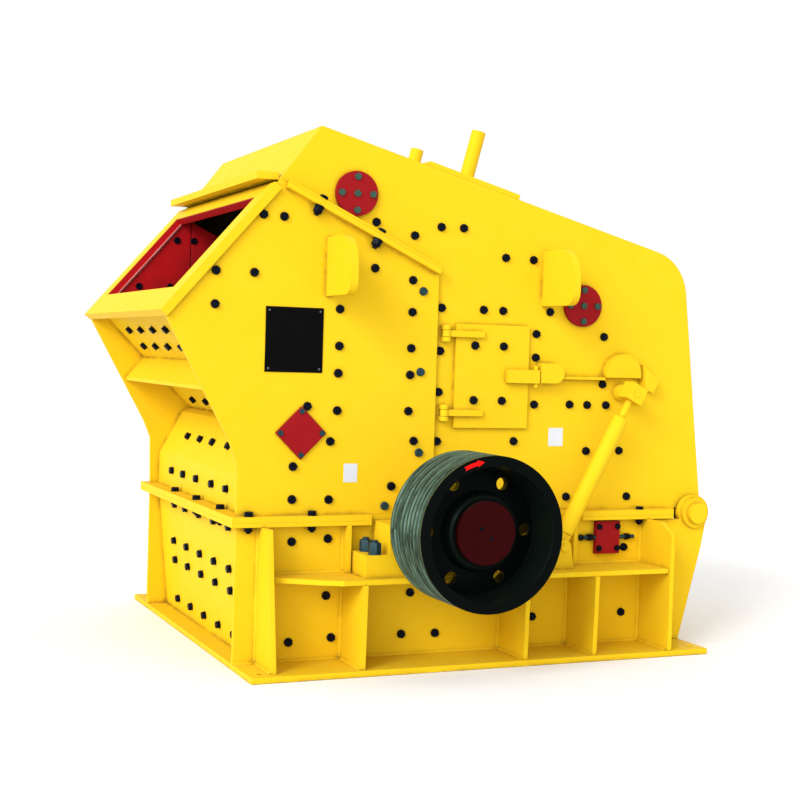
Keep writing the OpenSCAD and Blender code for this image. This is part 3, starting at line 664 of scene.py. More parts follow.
def new_finish(name, specular=0.5):
    """The node tree and the shader of a new material."""
    made = bpy.data.materials.new(name)
    made.use_nodes = True
    shader = made.node_tree.nodes["Principled BSDF"].inputs
    shader["Specular IOR Level"].default_value = specular
    return made.node_tree, shader


def dress(tree, shader, colour, rough, height, strength, distance, rounded=None):
    """Feeds a shader its colour, its roughness and the normal that a height raises."""
    relief = {"Height": height, "Strength": strength, "Distance": distance}
    if rounded:
        relief["Normal"] = rounded
    tree.links.new(colour, shader["Base Color"])
    tree.links.new(rough, shader["Roughness"])
    tree.links.new(add(tree, "ShaderNodeBump", relief)["Normal"], shader["Normal"])
    arrange(tree)


def enamel(name, colour, deep, gloss=0.42, chips=0.1, dust=0.0, peel=150.0, specular=0.03,
           width=0.004, grime=0.0, soot=0.0):
    """Sprayed enamel over steel, thin and chipped at its corners, with painted shade in its
    creases and inside the crushing chamber where asked.
    """
    tree, shader = new_finish(name, specular)
    film = use(tree, "Sprayed paint film", {"Peel size": peel})
    worn = use(tree, "Worn edges", {"Width": width, "Chips": chips})
    dusty = use(tree, "Settled dust", {"Amount": dust})["Mask"]
    tone = ranged(tree, film["Tone"], 0.0, 0.55)
    skin = blended(tree, tone, rgba(colour), rgba(deep))
    thin = ranged(tree, worn["Edge"], 0.0, 0.22)
    skin = blended(tree, thin, skin, rgba(deep, 0.8))
    skin = blended(tree, worn["Chipped"], skin, BARE_STEEL)
    skin = blended(tree, dusty, skin, DUST)
    # Painted shade: brown in the creases, near black inside the crushing chamber.
    for effect, amount, cover in (("Creased grime", grime, CREASE_SHADE), ("Chamber soot", soot, CHAMBER_SHADE)):
        if amount:
            skin = blended(tree, use(tree, effect, {"Amount": amount})["Mask"], skin, cover)
    rough = ranged(tree, film["Gloss"], gloss - 0.07, gloss + 0.09)
    matt = ranged(tree, dusty, 0.0, 0.4)
    rough = figure(tree, "ADD", rough, matt)
    step = figure(tree, "SUBTRACT", film["Height"], worn["Chipped"])
    dress(tree, shader, skin, rough, step, 0.12, 0.0012, worn["Rounded"])


def bare_metal(name, light, dark, rough, mottle, bump=0.12, metal=0.15, specular=0.5,
               stretch=(1, 1, 1)):
    """Steel with a mottled skin, brighter along its rubbed corners."""
    tree, shader = new_finish(name, specular)
    skin = use(tree, "Steel skin", {"Mottle size": mottle, "Stretch": stretch})
    worn = use(tree, "Worn edges", {"Width": 0.0025, "Chips": 0.8})
    tone = mapped(tree, skin["Tone"], 0.35, 0.68)
    colour = blended(tree, tone, rgba(light), rgba(dark))
    rubbed = ranged(tree, worn["Edge"], 0.0, 0.6)
    colour = blended(tree, rubbed, colour, rgba(light, 1.5))
    drawn = figure(tree, "MULTIPLY", skin["Scratch"], skin["Tone"])
    uneven = ranged(tree, drawn, rough - 0.12, rough + 0.35)
    height = figure(tree, "ADD", skin["Height"], skin["Scratch"])
    shader["Metallic"].default_value = metal
    dress(tree, shader, colour, uneven, height, bump, 0.0015, worn["Rounded"])


def pulley_finish(name, colour, polish):
    """Dark enamel, rubbed by the belts round the rim, with painted sheen streaks there and on its
    curved faces, and painted shade at the groove bottoms.
    """
    tree, shader = new_finish(name, 0.03)
    place, normal = coordinates(tree)
    arm = vector_figure(tree, "SUBTRACT", place, tuple(ROTOR_AXIS))
    arm = split(tree, arm)
    angle = figure(tree, "ARCTAN2", arm["Z"], arm["X"])
    flat = add(tree, "ShaderNodeCombineXYZ", {"X": arm["X"], "Z": arm["Z"]})[0]
    radius = vector_figure(tree, "LENGTH", flat)
    rim = figure(tree, "GREATER_THAN", radius, PULLEY_ROOT)
    square = figure(tree, "ABSOLUTE", split(tree, normal)["Y"])
    flank = figure(tree, "LESS_THAN", square, 0.97)    # not a flat face square to the axis
    belt = product(tree, rim, flank)
    across = figure(tree, "MULTIPLY", arm["Y"], 60.0)    # squeezes the streaks round the rim
    wrap = add(tree, "ShaderNodeCombineXYZ", {"X": angle, "Y": across})[0]
    # Painted sheen: bright streaks round the rim over the belt wear.
    streak = noise(tree, wrap, 2.2, 5.0, 0.7)
    shine = mapped(tree, streak, 0.40, 0.72)
    # Painted shade: darkest at the groove bottoms.
    crest = mapped(tree, radius, PULLEY_ROOT, PULLEY_ROOT + GROOVE_CREST)
    rubbed = blended(tree, shine, rgba(polish, 0.35), rgba(polish, 2.6))
    rubbed = blended(tree, crest, rgba(polish, 0.10), rubbed)
    skin = use(tree, "Steel skin", {"Mottle size": 30.0})
    film = ranged(tree, skin["Tone"], 0.2, 0.8)
    dark = blended(tree, film, rgba(colour), rgba(colour, 0.35))
    # Painted sheen: curved faces get a lighter green than the flat face.
    dark = blended(tree, flank, dark, rgba(polish, 0.13))
    paint = blended(tree, belt, dark, rubbed)
    tree.links.new(ranged(tree, flank, 0.0, 0.65), shader["Metallic"])
    width = ranged(tree, belt, 0.010, 0.0015)
    worn = use(tree, "Worn edges", {"Width": width, "Chips": 0.1})
    rough = ranged(tree, skin["Scratch"], 0.22, 0.46)
    dress(tree, shader, paint, rough, skin["Height"], 0.08, 0.001, worn["Rounded"])


def liner_finish(name, colour):
    """Red enamel on the feed liners, with painted near-black shade further in."""
    tree, shader = new_finish(name, 0.12)
    place, _ = coordinates(tree)
    depth = vector_figure(tree, "DOT_PRODUCT", place, INWARD)
    drift = noise(tree, place, 5.0, 6.0, 0.65)
    uneven = figure(tree, "MULTIPLY_ADD", drift, 0.30, -0.15)
    reach = figure(tree, "ADD", depth, uneven)
    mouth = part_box("feed_liners")[0].x * INWARD[0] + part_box("feed_floor")[1].z * INWARD[2]
    # Painted shade: the red turns near black deeper inside the feed opening.
    black = mapped(tree, reach, mouth + 0.10, mouth + 0.42)
    skin = use(tree, "Steel skin", {"Mottle size": 9.0})
    tone = ranged(tree, skin["Tone"], 0.0, 0.7)
    red = blended(tree, tone, rgba(colour), rgba(colour, 0.6))
    red_with_inner_shade = blended(tree, black, red, CHAMBER_SHADE)
    rough = ranged(tree, skin["Scratch"], 0.30, 0.55)
    worn = use(tree, "Worn edges", {"Width": 0.004, "Chips": 0.5})
    dress(tree, shader, red_with_inner_shade, rough, skin["Height"], 0.3, 0.002, worn["Rounded"])


def label_film(name, colour, shade):
    """Printed vinyl, a little uneven and lifted at its border."""
    tree, shader = new_finish(name)
    film = use(tree, "Sprayed paint film", {"Peel size": 420.0, "Cloud size": 14.0})
    worn = use(tree, "Worn edges", {"Width": 0.0015, "Chips": 0.0})
    tone = ranged(tree, film["Tone"], 0.0, 0.5)
    skin = blended(tree, tone, rgba(colour), rgba(shade))
    lifted = ranged(tree, worn["Edge"], 0.0, 0.5)
    skin = blended(tree, lifted, skin, rgba(shade, 0.7))
    rough = ranged(tree, film["Gloss"], 0.28, 0.46)
    dress(tree, shader, skin, rough, film["Height"], 0.1, 0.0006)


def finishes(looks):
    """What each finish is made from, with the colours, wear and painted shade set in the panel."""
    yellow, red, maroon = looks.yellow, looks.red, looks.maroon
    housing = dict(
        colour=yellow, deep=(yellow[0] * 0.97, yellow[1] * 0.92, 0.006), chips=looks.chips,
        dust=looks.dust, specular=0.02, grime=looks.grime,
    )
    return {
        "Housing yellow": (enamel, housing),
        # Painted near-black shade on the faces inside the crushing chamber.
        "Chamber plate yellow": (enamel, dict(housing, soot=0.97)),
        "Liner red": (liner_finish, dict(colour=(red[0] * 1.7, red[1], red[2]))),
        # Red rubbed toward white along the liner's front edge: worn paint and a painted highlight.
        "Rubbed liner edge": (enamel, dict(
            colour=(0.62, 0.05, 0.05), deep=(0.95, 0.80, 0.76), gloss=0.36, chips=0.2,
            peel=90.0, specular=0.3)),
        "Guard red": (enamel, dict(
            colour=red, deep=[c * 0.8 for c in red], chips=looks.chips, dust=looks.dust * 0.5,
            specular=0.06)),
        "Hub maroon": (enamel, dict(
            colour=maroon, deep=[c * 0.75 for c in maroon], gloss=0.40, chips=looks.chips * 0.6,
            dust=0.05, specular=0.02)),
        "Pulley enamel": (pulley_finish, dict(colour=looks.pulley, polish=looks.belt_wear_and_sheen)),
        "Bolt black": (bare_metal, dict(
            light=(0.0022, 0.004, 0.010), dark=(0.001, 0.0015, 0.004), rough=0.34, mottle=160.0,
            metal=0.1, specular=0.06)),
        "Zinc teal": (bare_metal, dict(
            light=(0.016, 0.050, 0.058), dark=(0.008, 0.026, 0.036), rough=0.38, mottle=120.0,
            specular=0.15)),
        "Zinc green": (bare_metal, dict(
            light=(0.045, 0.100, 0.072), dark=(0.020, 0.045, 0.036), rough=0.38, mottle=120.0,
            specular=0.12)),
        "Turned steel": (bare_metal, dict(
            light=(0.42, 0.43, 0.44), dark=(0.27, 0.27, 0.275), rough=0.28, mottle=35.0,
            bump=0.08, metal=0.9, stretch=(1.0, 8.0, 1.0))),
        "Dull screw": (bare_metal, dict(
            light=(0.11, 0.11, 0.12), dark=(0.06, 0.06, 0.065), rough=0.40, mottle=300.0,
            bump=0.1, metal=0.6)),
        "Cast manganese steel": (bare_metal, dict(
            light=(0.20, 0.185, 0.17), dark=(0.10, 0.085, 0.075), rough=0.48, mottle=16.0,
            bump=0.55, metal=0.75, stretch=(1.0, 0.12, 1.0))),
        "Plate black": (enamel, dict(
            colour=(0.0015, 0.0015, 0.0018), deep=(0.003, 0.003, 0.0034), chips=0.05, dust=0.01,
            peel=600.0, width=0.0012)),
        "Label white": (label_film, dict(colour=(0.60, 0.62, 0.66), shade=(0.48, 0.51, 0.56))),
        "Marking red": (enamel, dict(
            colour=(0.80, 0.006, 0.005), deep=(0.62, 0.004, 0.004), peel=260.0, width=0.0008)),
    }


def finish(name):
    """The finish of that name, made the first time that a part asks for it."""
    if name not in bpy.data.materials:
        maker, values = finishes(bpy.context.scene.crusher_looks)[name]
        maker(name, **values)
    return bpy.data.materials[name]


# The finish of each part that isn't plain housing yellow.
PAINTED = {
    "Guard red": ["diamond_covers", "adjuster_covers", "axle_covers"],
    "Liner red": ["feed_liners"],
    # Yellow outside, with painted near-black shade on the faces inside the chamber.
    "Chamber plate yellow": [
        "lower_side_drive", "lower_side_free", "lower_front_wall", "lower_rear_wall",
        "front_side_drive", "front_side_free", "upper_front_wall", "cover_side_drive",
        "cover_side_free", "cover_roof", "cover_back", "cover_front_slope",
    ],
    "Hub maroon": ["hub_cap"],
    "Pulley enamel": ["pulley"],
    "Turned steel": ["rotor_shaft", "apron_axles"],
    "Zinc teal": ["adjuster_screws"],
    "Cast manganese steel": ["rotor_discs", "blow_bars", "front_apron", "rear_apron"],
    "Plate black": ["name_plate"],
}


# ------------ what a user may change


PAINT = dict(subtype="COLOR", size=3, min=0.0, max=1.0)
SHARE = dict(subtype="FACTOR", min=0.0, max=1.0)


class CrusherLooks(PropertyGroup):
    """Colours, wear, painted crease shade, and the sizes of fasteners and welds."""

    yellow: FloatVectorProperty(
        name="Housing yellow", description="Paint of the housing plates",
        default=(0.72, 0.474, 0.014), **PAINT,
    )
    red: FloatVectorProperty(
        name="Guard red", description="Paint of the liners and small covers",
        default=(0.27, 0.0065, 0.009), **PAINT,
    )
    maroon: FloatVectorProperty(
        name="Hub maroon", description="Paint of the pulley's hub cap",
        default=(0.025, 0.0014, 0.0017), **PAINT,
    )
    pulley: FloatVectorProperty(
        name="Pulley enamel", description="Paint of the drive pulley",
        default=(0.0012, 0.0030, 0.0024), **PAINT,
    )
    # Belt wear on the rim, with painted sheen streaks.
    belt_wear_and_sheen: FloatVectorProperty(
        name="Belt wear and painted sheen", description="Belt wear and painted sheen streaks on the rim",
        default=(0.060, 0.105, 0.080), **PAINT,
    )
    chips: FloatProperty(
        name="Chipped corners", description="Share of the corners with chipped paint",
        default=0.22, **SHARE,
    )
    dust: FloatProperty(
        name="Dust", description="Stone dust on upward faces",
        default=0.05, **SHARE,
    )
    # Strength of the painted brown shade in the corners between plates.
    grime: FloatProperty(
        name="Crease shade", description="Painted brown shade in the corners between plates",
        default=0.75, **SHARE,
    )
    head_flats: FloatProperty(
        name="Bolt head", description="Width of a bolt head across its flats",
        unit="LENGTH", min=0.01, max=0.08, default=0.038,
    )
    head_height: FloatProperty(
        name="Head height", description="Height of a bolt head",
        unit="LENGTH", min=0.004, max=0.04, default=0.013,
    )
    washer_across: FloatProperty(
        name="Washer", description="Outside diameter of a washer",
        unit="LENGTH", min=0.01, max=0.1, default=0.045,
    )
    washer_thick: FloatProperty(
        name="Washer thickness", description="Thickness of a washer",
        unit="LENGTH", min=0.001, max=0.01, default=0.003,
    )
    weld_leg: FloatProperty(
        name="Weld leg", description="Leg length of the fillet welds",
        unit="LENGTH", min=0.003, max=0.02, default=0.009,
    )


# ------------ operators


class CRUSHER_OT_paint(Operator):
    """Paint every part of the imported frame"""

    bl_idname = "crusher.paint"
    bl_label = "Paint the machine"

    def execute(self, context):
        paints = {node: name for name, nodes in PAINTED.items() for node in nodes}
        for node, part in frame["nodes"].items():
            for slot in part.material_slots:
                slot.material = finish(paints.get(node, "Housing yellow"))
        return {"FINISHED"}


class CRUSHER_OT_plate_bolts(Operator):
    """Bolt the wear liners to the side plates of the housing and the cover"""

    bl_idname = "crusher.plate_bolts"
    bl_label = "Side plate bolts"

    def execute(self, context):
        shape = bolt_shape(context.scene.crusher_looks)
        for side, hand in SIDES:
            front, lower, cover = (f"{n}_side_{hand}" for n in ("front", "lower", "cover"))
            places = side_places(front, FRONT_PLATE_BOLTS, FRONT_EDGE, JOINT_Z, side)
            places += side_places(lower, LOWER_PLATE_BOLTS, FRONT_EDGE, 0, side)
            fastened(f"plate_bolts_{hand}", shape, places, "Bolt black", "frame", seed=3)
            places = side_places(front, SPLIT_LINE_BOLTS, FRONT_EDGE, JOINT_Z, side)
            fastened(f"split_bolts_{hand}", shape, places, "Zinc teal", "frame", seed=4)
            places = side_places(cover, COVER_PLATE_BOLTS, ROTOR_AXIS.x, JOINT_Z, side)
            if hand == "free":    # where the drive side has its door
                door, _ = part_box("inspection_door")
                places += side_places(cover, DOOR_BOLTS, door.x, door.z, side)
            fastened(f"cover_bolts_{hand}", shape, places, "Bolt black", "cover", seed=5)
        return {"FINISHED"}


class CRUSHER_OT_end_bolts(Operator):
    """Bolt rows of the feed end: both front walls and the underside of the feed floor"""

    bl_idname = "crusher.end_bolts"
    bl_label = "Feed end bolts"

    def execute(self, context):
        places = []
        for node, (x, z), (way_x, way_z), across in END_BOLT_ROWS:
            into = Vector((way_x, 0, way_z))
            places += [seat(node, Vector((x, y, z)) - into * ROW_START, into) for y in across]
        fastened("end_wall_bolts", capped(*END_HEAD), places, "Bolt black", "frame", seed=6)
        return {"FINISHED"}


class CRUSHER_OT_rear_bolts(Operator):
    """Bolt rows of the liners behind the cover's back, its roof and the rear wall"""

    bl_idname = "crusher.rear_bolts"
    bl_label = "Rear and roof bolts"

    def execute(self, context):
        shape = bolt_shape(context.scene.crusher_looks)
        forward = (-1, 0, 0)
        back, roof, wall = [], [], []
        for y in REAR_SPREAD:
            back += [seat("cover_back", (BEHIND, y, JOINT_Z + z), forward) for z in BACK_ROWS]
            roof += [seat("cover_roof", (ROTOR_AXIS.x + x, y, ABOVE), DOWN) for x in ROOF_ROWS]
            wall += [seat("lower_rear_wall", (BEHIND, y, z), forward) for z in WALL_ROWS]
        fastened("cover_back_bolts", shape, back + roof, "Bolt black", "cover", seed=31)
        fastened("rear_wall_bolts", shape, wall, "Bolt black", "frame", seed=32)
        return {"FINISHED"}


class CRUSHER_OT_flange_bolts(Operator):
    """Bolts through the joint flanges and the sloping split"""

    bl_idname = "crusher.flange_bolts"
    bl_label = "Flange bolts"

    def execute(self, context):
        looks = context.scene.crusher_looks
        head, nut, tall = bolt_shape(looks), nut_shape(looks), capped(*JOINT_HEAD)
        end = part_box("front_flange")[0]
        middle = (SIDE_Y - end.y) / 2
        spots = [(FRONT_EDGE + x, side * middle) for x in JOINT_SIDE_BOLTS for side in (-1, 1)]
        spots += [(end.x + JOINT_END_INSET, y) for y in JOINT_END_BOLTS]
        heads = [seat("front_flange", (x, y, ABOVE), DOWN) for x, y in spots]
        nuts = [seat("lower_flange", (x, y, 0), UP) for x, y in spots]
        piece(
            "joint_bolts_front",
            [placed(tall, *p) for p in heads] + [placed(nut, *p) for p in nuts],
            "Bolt black", "frame",
        )
        lift = Vector(SLOPE_NORMAL)
        deep = tall_nut(*SLOPE_NUT)
        for side, hand in SIDES:
            at = [Vector((x, side * middle, z)) for x, z in SLOPE_BOLTS]
            under = [seat(f"front_side_{hand}", p - lift * SLOPE_UNDER, lift) for p in at]
            fastened(f"slope_nuts_{hand}", deep, under, "Bolt black", "frame", seed=7)
            over = [seat(f"cover_side_{hand}", p + lift * SLOPE_OVER, -lift) for p in at]
            fastened(f"slope_bolts_{hand}", head, over, "Bolt black", "cover", seed=8)
        spots = [(ROTOR_AXIS.x + JOINT_REAR_BOLT, side * middle) for side in (-1, 1)]
        heads = [seat("cover_flange", (x, y, ABOVE), DOWN) for x, y in spots]
        nuts = [seat("lower_flange", (x, y, 0), UP) for x, y in spots]
        fastened("joint_bolts_cover", head, heads, "Bolt black", "cover")
        fastened("joint_nuts_rear", nut, nuts, "Bolt black", "frame")
        return {"FINISHED"}


class CRUSHER_OT_cover_screws(Operator):
    """Screws of the red covers, the inspection door and the name plate"""

    bl_idname = "crusher.cover_screws"
    bl_label = "Small cover screws"

    def execute(self, context):
        def cover_seats(node, offsets):
            """Seats at these offsets from the middle of each cover of a node."""
            found = []
            for low, high in part_boxes(node):
                middle = (low + high) / 2
                side = -1 if middle.y < 0 else 1
                found += [side_seat(node, middle.x + x, middle.z + z, side) for x, z in offsets]
            return found

        reach = AXLE_BOLT_CIRCLE
        discs = cover_seats(
            "axle_covers", ((0, 0), (reach, 0), (0, reach), (-reach, 0), (0, -reach))
        )
        fastened("axle_cover_bolts", hex_head(*AXLE_COVER_HEAD), discs, "Zinc green", "cover")
        squares = cover_seats("adjuster_covers", [
            (x, z) for x in (-ADJUSTER_BOLT_X, ADJUSTER_BOLT_X)
            for z in (-ADJUSTER_BOLT_Z, ADJUSTER_BOLT_Z)
        ])
        fastened("adjuster_cover_bolts", hex_head(*ADJUSTER_COVER_HEAD), squares, "Bolt black",
                 "frame")
        low, high = part_boxes("diamond_covers")[0]
        reach = (high.x - low.x) / 2 - DIAMOND_INSET
        diamonds = cover_seats(
            "diamond_covers", ((reach, 0), (-reach, 0), (0, reach), (0, -reach))
        )
        fastened("diamond_cover_bolts", hex_head(*DIAMOND_COVER_HEAD), diamonds, "Zinc teal",
                 "frame")
        low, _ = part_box("inspection_door")
        doors = side_places("inspection_door", DOOR_BOLTS, low.x, low.z, -1)
        shape = bolt_shape(context.scene.crusher_looks)
        fastened("door_bolts", shape, doors, "Bolt black", "door")
        low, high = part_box("name_plate")
        inset = NAME_PLATE_INSET
        plate = [side_seat("name_plate", x, z) for x in (low.x + inset, high.x - inset)
                 for z in (low.z + inset, high.z - inset)]
        fastened("name_plate_screws", screw_shape(*NAME_PLATE_SCREW), plate, "Dull screw", "frame")
        return {"FINISHED"}


class CRUSHER_OT_adjuster_nuts(Operator):
    """Nuts and stud ends on the screws that pass behind the square covers"""

    bl_idname = "crusher.adjuster_nuts"
    bl_label = "Adjuster nuts"

    def execute(self, context):
        stubs = part_boxes("adjuster_screws")
        nuts, ends = [], []
        for side, _ in SIDES:
            boxes = [box for box in stubs if box[0].y * side > 0]
            first = min(low.x for low, _ in boxes)
            last = max(high.x for _, high in boxes)
            low, high = boxes[0]
            middle, across = (low + high) / 2, high.z - low.z
            for x, flats, thick in ADJUSTER_NUTS:
                at = Vector(((first + last) / 2 + x, middle.y, middle.z))
                nuts.append(placed(hex_head(flats, thick), at, (1, 0, 0), math.radians(30)))
            for end, way in ((first, -1), (last, 1)):
                at = Vector((end, middle.y, middle.z))
                ends.append(placed(stud_end(across, -0.002, ADJUSTER_STUD), at, (way, 0, 0)))
        piece("adjuster_nuts", nuts, "Bolt black", "frame")
        piece("adjuster_stud_ends", ends, "Zinc teal", "frame")
        return {"FINISHED"}


class CRUSHER_OT_bearing_nuts(Operator):
    """Nuts that hold the feet of both bearing housings on their shelves"""

    bl_idname = "crusher.bearing_nuts"
    bl_label = "Bearing foot nuts"

    def execute(self, context):
        places = [
            seat("bearing_housings", (ROTOR_AXIS.x + reach, side * y, FEET_START), DOWN)
            for side in (-1, 1) for reach in (-BEARING_NUT_REACH, BEARING_NUT_REACH)
            for y in BEARING_NUT_ROWS
        ]
        fastened("bearing_nuts", tall_nut(*BEARING_NUT), places, "Zinc teal", "frame", seed=9)
        return {"FINISHED"}


class CRUSHER_OT_feed_lining(Operator):
    """Red wear strips inside the feed opening, welded along their outer edges"""

    bl_idname = "crusher.feed_lining"
    bl_label = "Feed opening lining"

    def execute(self, context):
        out = Vector((-INWARD[0], 0, -INWARD[2]))
        along = Vector((-out.z, 0, out.x))
        places = [v.co for v in frame["nodes"]["inlet_frame"].data.vertices]
        depths = sorted(p.dot(out) for p in places)
        reaches = sorted({round(p.dot(along), 4) for p in places})
        half = min(round(abs(p.y), 4) for p in places)
        back, face = depths[0], depths[-1] - LINING_SET_BACK
        low, high = reaches[1:3]
        thick = LINING_THICK

        def at(depth, reach, y):
            return out * depth + along * reach + Vector((0, y, 0))

        strips = []
        for reach, width in (
            ((low, high), (half - thick, half)), ((low, high), (-half, thick - half)),
            ((high - thick, high), (-half, half)), ((low, low + thick), (-half, half)),
        ):
            corners = [at(d, a, y) for d in (back, face) for a in reach for y in width]
            strips.append(hull([tuple(c) for c in corners]))
        piece("feed_lining", strips, "Liner red", "frame")
        chance = random.Random(21)
        beads = []
        for side in (-1, 1):
            start, end = (at(back + 0.004, a, side * (half - thick))
                          for a in (low + thick, high - thick))
            beads.append(weld_bead(start, end, (0, -side, 0), -out, LINING_WELD_LEG, chance))
        # The bead carries the worn paint and painted highlight of the liner's front edge.
        piece("feed_lining_welds", beads, "Rubbed liner edge", "frame", sharp=60)
        return {"FINISHED"}


class CRUSHER_OT_welds(Operator):
    """Run fillet welds along the stiffeners, shelves and base"""

    bl_idname = "crusher.welds"
    bl_label = "Fillet welds"

    def execute(self, context):
        leg = context.scene.crusher_looks.weld_leg
        chance = random.Random(11)
        beads = []

        def weld(start, end, side_a, side_b):
            beads.append(weld_bead(start, end, side_a, side_b, leg, chance))

        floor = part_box("base_flange")[1].z
        shelf_low, shelf_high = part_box("bearing_shelves")
        ends = (SIDE_PLATE[0].x, SIDE_PLATE[1].x)
        for side, hand in SIDES:
            y, out = side * SIDE_Y, (0, side, 0)
            for low, high in part_boxes(f"stiffeners_{hand}"):
                stop = side * (max(abs(low.y), abs(high.y)) - STIFFENER_WELD_STOP)
                top = high.z if high.z > shelf_high.z else min(high.z, shelf_low.z)
                for x, way in ((low.x, (-1, 0, 0)), (high.x, (1, 0, 0))):
                    weld((x, y, low.z + leg), (x, y, top - leg), way, out)
                    weld((x, y + side * leg, low.z), (x, stop, low.z), way, UP)
            weld((ends[0], y, floor), (ends[1], y, floor), out, UP)
            for z, way in ((shelf_low.z, DOWN), (shelf_high.z, UP)):
                weld((shelf_low.x, y, z), (shelf_high.x, y, z), out, way)
        piece("weld_beads", beads, "Housing yellow", "frame", sharp=60)
        return {"FINISHED"}


class CRUSHER_OT_labels(Operator):
    """Stick blank labels on the drive side's plates"""

    bl_idname = "crusher.labels"
    bl_label = "Blank labels"

    def execute(self, context):
        proud, sunk, chamfer = 0.0012, 0.0005, 0.0006
        for name, x, z, wide, tall, y, body in LABELS:
            low = (x - wide / 2, -y - proud, z - tall / 2)
            high = (x + wide / 2, -y + sunk, z + tall / 2)
            piece(name, [flat_box(low, high, chamfer)], "Label white", body)
        return {"FINISHED"}


class CRUSHER_OT_pulley_marks(Operator):
    """Paint the turning arrow on the pulley's rim and screw the hub cap down"""

    bl_idname = "crusher.pulley_marks"
    bl_label = "Pulley arrow and screws"

    def execute(self, context):
        mid, half = ARROW_RADIUS, ARROW_HALF
        sweep = [ARROW_TAIL + (ARROW_NECK - ARROW_TAIL) * i / ARROW_STEPS
                 for i in range(ARROW_STEPS + 1)]
        outline = [(mid + half, a) for a in sweep]
        outline += [(mid + 1.8 * half, ARROW_NECK), (mid, ARROW_TIP)]
        outline += [(mid - 1.8 * half, ARROW_NECK), *((mid - half, a) for a in sweep[::-1])]
        outline.append((mid, ARROW_TAIL - ARROW_NOTCH))
        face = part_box("pulley")[0].y
        rings = [
            [(ROTOR_AXIS.x - r * math.sin(a), y, ROTOR_AXIS.z + r * math.cos(a))
             for r, a in outline]
            for y in (face + 0.0002, face - 0.0003)
        ]
        piece("turning_arrow", [stacked(rings)], "Marking red", "rotor")
        places = []
        for turn in HUB_SCREW_ANGLES:
            x, z = (HUB_SCREW_RADIUS * way(math.radians(turn)) for way in (math.cos, math.sin))
            places.append(side_seat("hub_cap", ROTOR_AXIS.x + x, ROTOR_AXIS.z + z))
        fastened("hub_cap_screws", screw_shape(*HUB_SCREW), places, "Bolt black", "rotor")
        return {"FINISHED"}


class CRUSHER_OT_liner_bolts(Operator):
    """Bolts of the red liners inside the feed opening"""

    bl_idname = "crusher.liner_bolts"
    bl_label = "Feed liner bolts"

    def execute(self, context):
        places = [seat("feed_liners", (x, side * LINER_START, z), (0, side, 0))
                  for side in (-1, 1) for x, z in LINER_BOLTS]
        fastened("feed_liner_bolts", hex_head(*LINER_HEAD), places, "Bolt black", "frame")
        return {"FINISHED"}


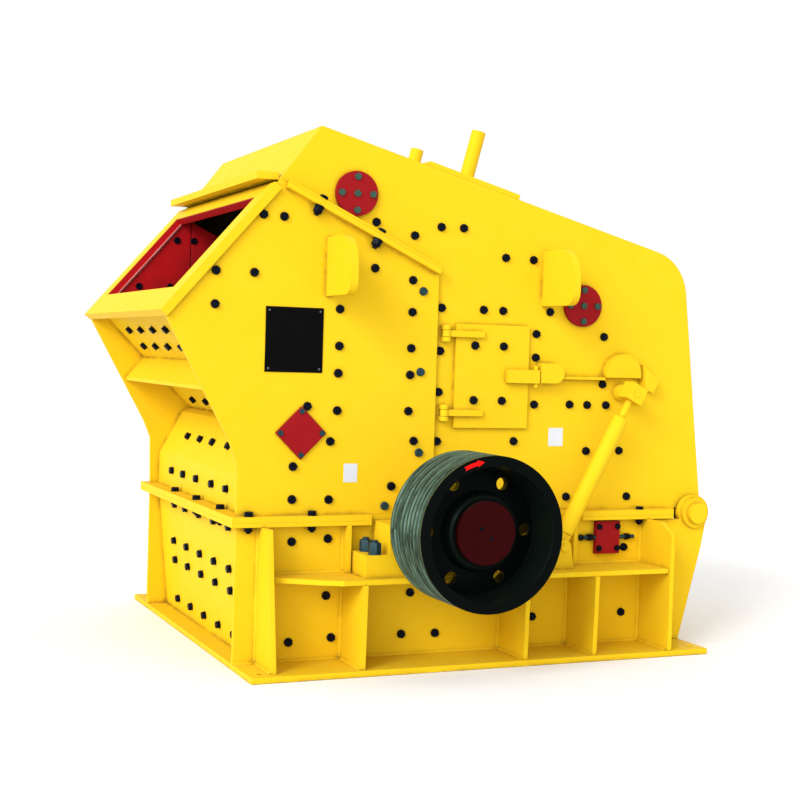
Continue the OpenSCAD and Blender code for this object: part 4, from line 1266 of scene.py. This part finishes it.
class CRUSHER_OT_studio(Operator):
    """Build the pale floor, the soft lights and the camera"""

    bl_idname = "crusher.studio"
    bl_label = "Studio"

    def execute(self, context):
        scene = context.scene
        rings = [ring(r, -FLOOR_FALL * i - 0.001, 96) for i, r in enumerate(FLOOR_RADII)]
        points, faces = stacked(rings, cap=False)
        mesh = bpy.data.meshes.new("studio_floor")
        mesh.from_pydata(points, [], [tuple(reversed(f)) for f in faces])
        floor = bpy.data.objects.new("studio_floor", mesh)
        tree, shader = new_finish("Studio floor", 0.1)
        film = use(tree, "Sprayed paint film", {"Cloud size": 0.3, "Peel size": 60.0})
        pale, grey = rgba((0.86, 0.86, 0.86)), rgba((0.83, 0.83, 0.83))
        skin = blended(tree, film["Tone"], pale, grey)
        tree.links.new(skin, shader["Base Color"])
        shader["Roughness"].default_value = 0.9
        mesh.materials.append(bpy.data.materials["Studio floor"])
        scene.collection.objects.link(floor)

        world = bpy.data.worlds.new("Studio sky")
        world.use_nodes = True
        scene.world = world
        sky = world.node_tree.nodes["Background"].inputs
        sky["Color"].default_value = (1, 1, 1, 1)
        sky["Strength"].default_value = 1.0

        for name, direction, energy, angle in SUNS:
            lamp = bpy.data.lights.new(name, "SUN")
            lamp.energy, lamp.angle = energy, math.radians(angle)
            light = bpy.data.objects.new(name, lamp)
            light.rotation_euler = Vector(direction).to_track_quat("Z", "Y").to_euler()
            scene.collection.objects.link(light)

        yaw, pitch, roll = CAMERA_YAW, CAMERA_PITCH, CAMERA_ROLL
        level = Vector((math.sin(yaw), math.cos(yaw), 0))
        ahead = level * math.cos(pitch) + Vector((0, 0, math.sin(pitch)))
        right = Vector((math.cos(yaw), -math.sin(yaw), 0))
        up = right.cross(ahead)
        x_axis = right * math.cos(roll) + up * math.sin(roll)
        y_axis = up * math.cos(roll) - right * math.sin(roll)
        lens = bpy.data.cameras.new("camera")
        lens.lens, lens.sensor_width, lens.clip_end = CAMERA_LENS, CAMERA_SENSOR, 200.0
        camera = bpy.data.objects.new("camera", lens)
        turn = Matrix((x_axis, y_axis, -ahead)).transposed().to_4x4()
        camera.matrix_world = Matrix.Translation(CAMERA_PLACE) @ turn
        scene.collection.objects.link(camera)
        scene.camera = camera
        scene.view_settings.view_transform = "Standard"
        return {"FINISHED"}


OPERATORS = (
    CRUSHER_OT_paint,
    CRUSHER_OT_plate_bolts,
    CRUSHER_OT_end_bolts,
    CRUSHER_OT_rear_bolts,
    CRUSHER_OT_flange_bolts,
    CRUSHER_OT_cover_screws,
    CRUSHER_OT_adjuster_nuts,
    CRUSHER_OT_bearing_nuts,
    CRUSHER_OT_feed_lining,
    CRUSHER_OT_welds,
    CRUSHER_OT_labels,
    CRUSHER_OT_pulley_marks,
    CRUSHER_OT_liner_bolts,
    CRUSHER_OT_studio,
)


class CRUSHER_PT_dressing(Panel):
    """Lists the sizes, colours and steps of the dressing"""

    bl_idname = "CRUSHER_PT_dressing"
    bl_label = "Crusher"
    bl_space_type = "VIEW_3D"
    bl_region_type = "UI"
    bl_category = "Crusher"

    def draw(self, context):
        looks = context.scene.crusher_looks
        for key in CrusherLooks.__annotations__:
            self.layout.prop(looks, key)
        for kind in OPERATORS:
            self.layout.operator(kind.bl_idname)


CLASSES = (CrusherLooks, *OPERATORS, CRUSHER_PT_dressing)


def register():
    for kind in CLASSES:
        bpy.utils.register_class(kind)
    bpy.types.Scene.crusher_looks = PointerProperty(type=CrusherLooks)


def unregister():
    del bpy.types.Scene.crusher_looks
    for kind in reversed(CLASSES):
        bpy.utils.unregister_class(kind)


def main():
    register()
    for kind in OPERATORS:
        group, name = kind.bl_idname.split(".")
        getattr(getattr(bpy.ops, group), name)()


if __name__ == "__main__":
    main()
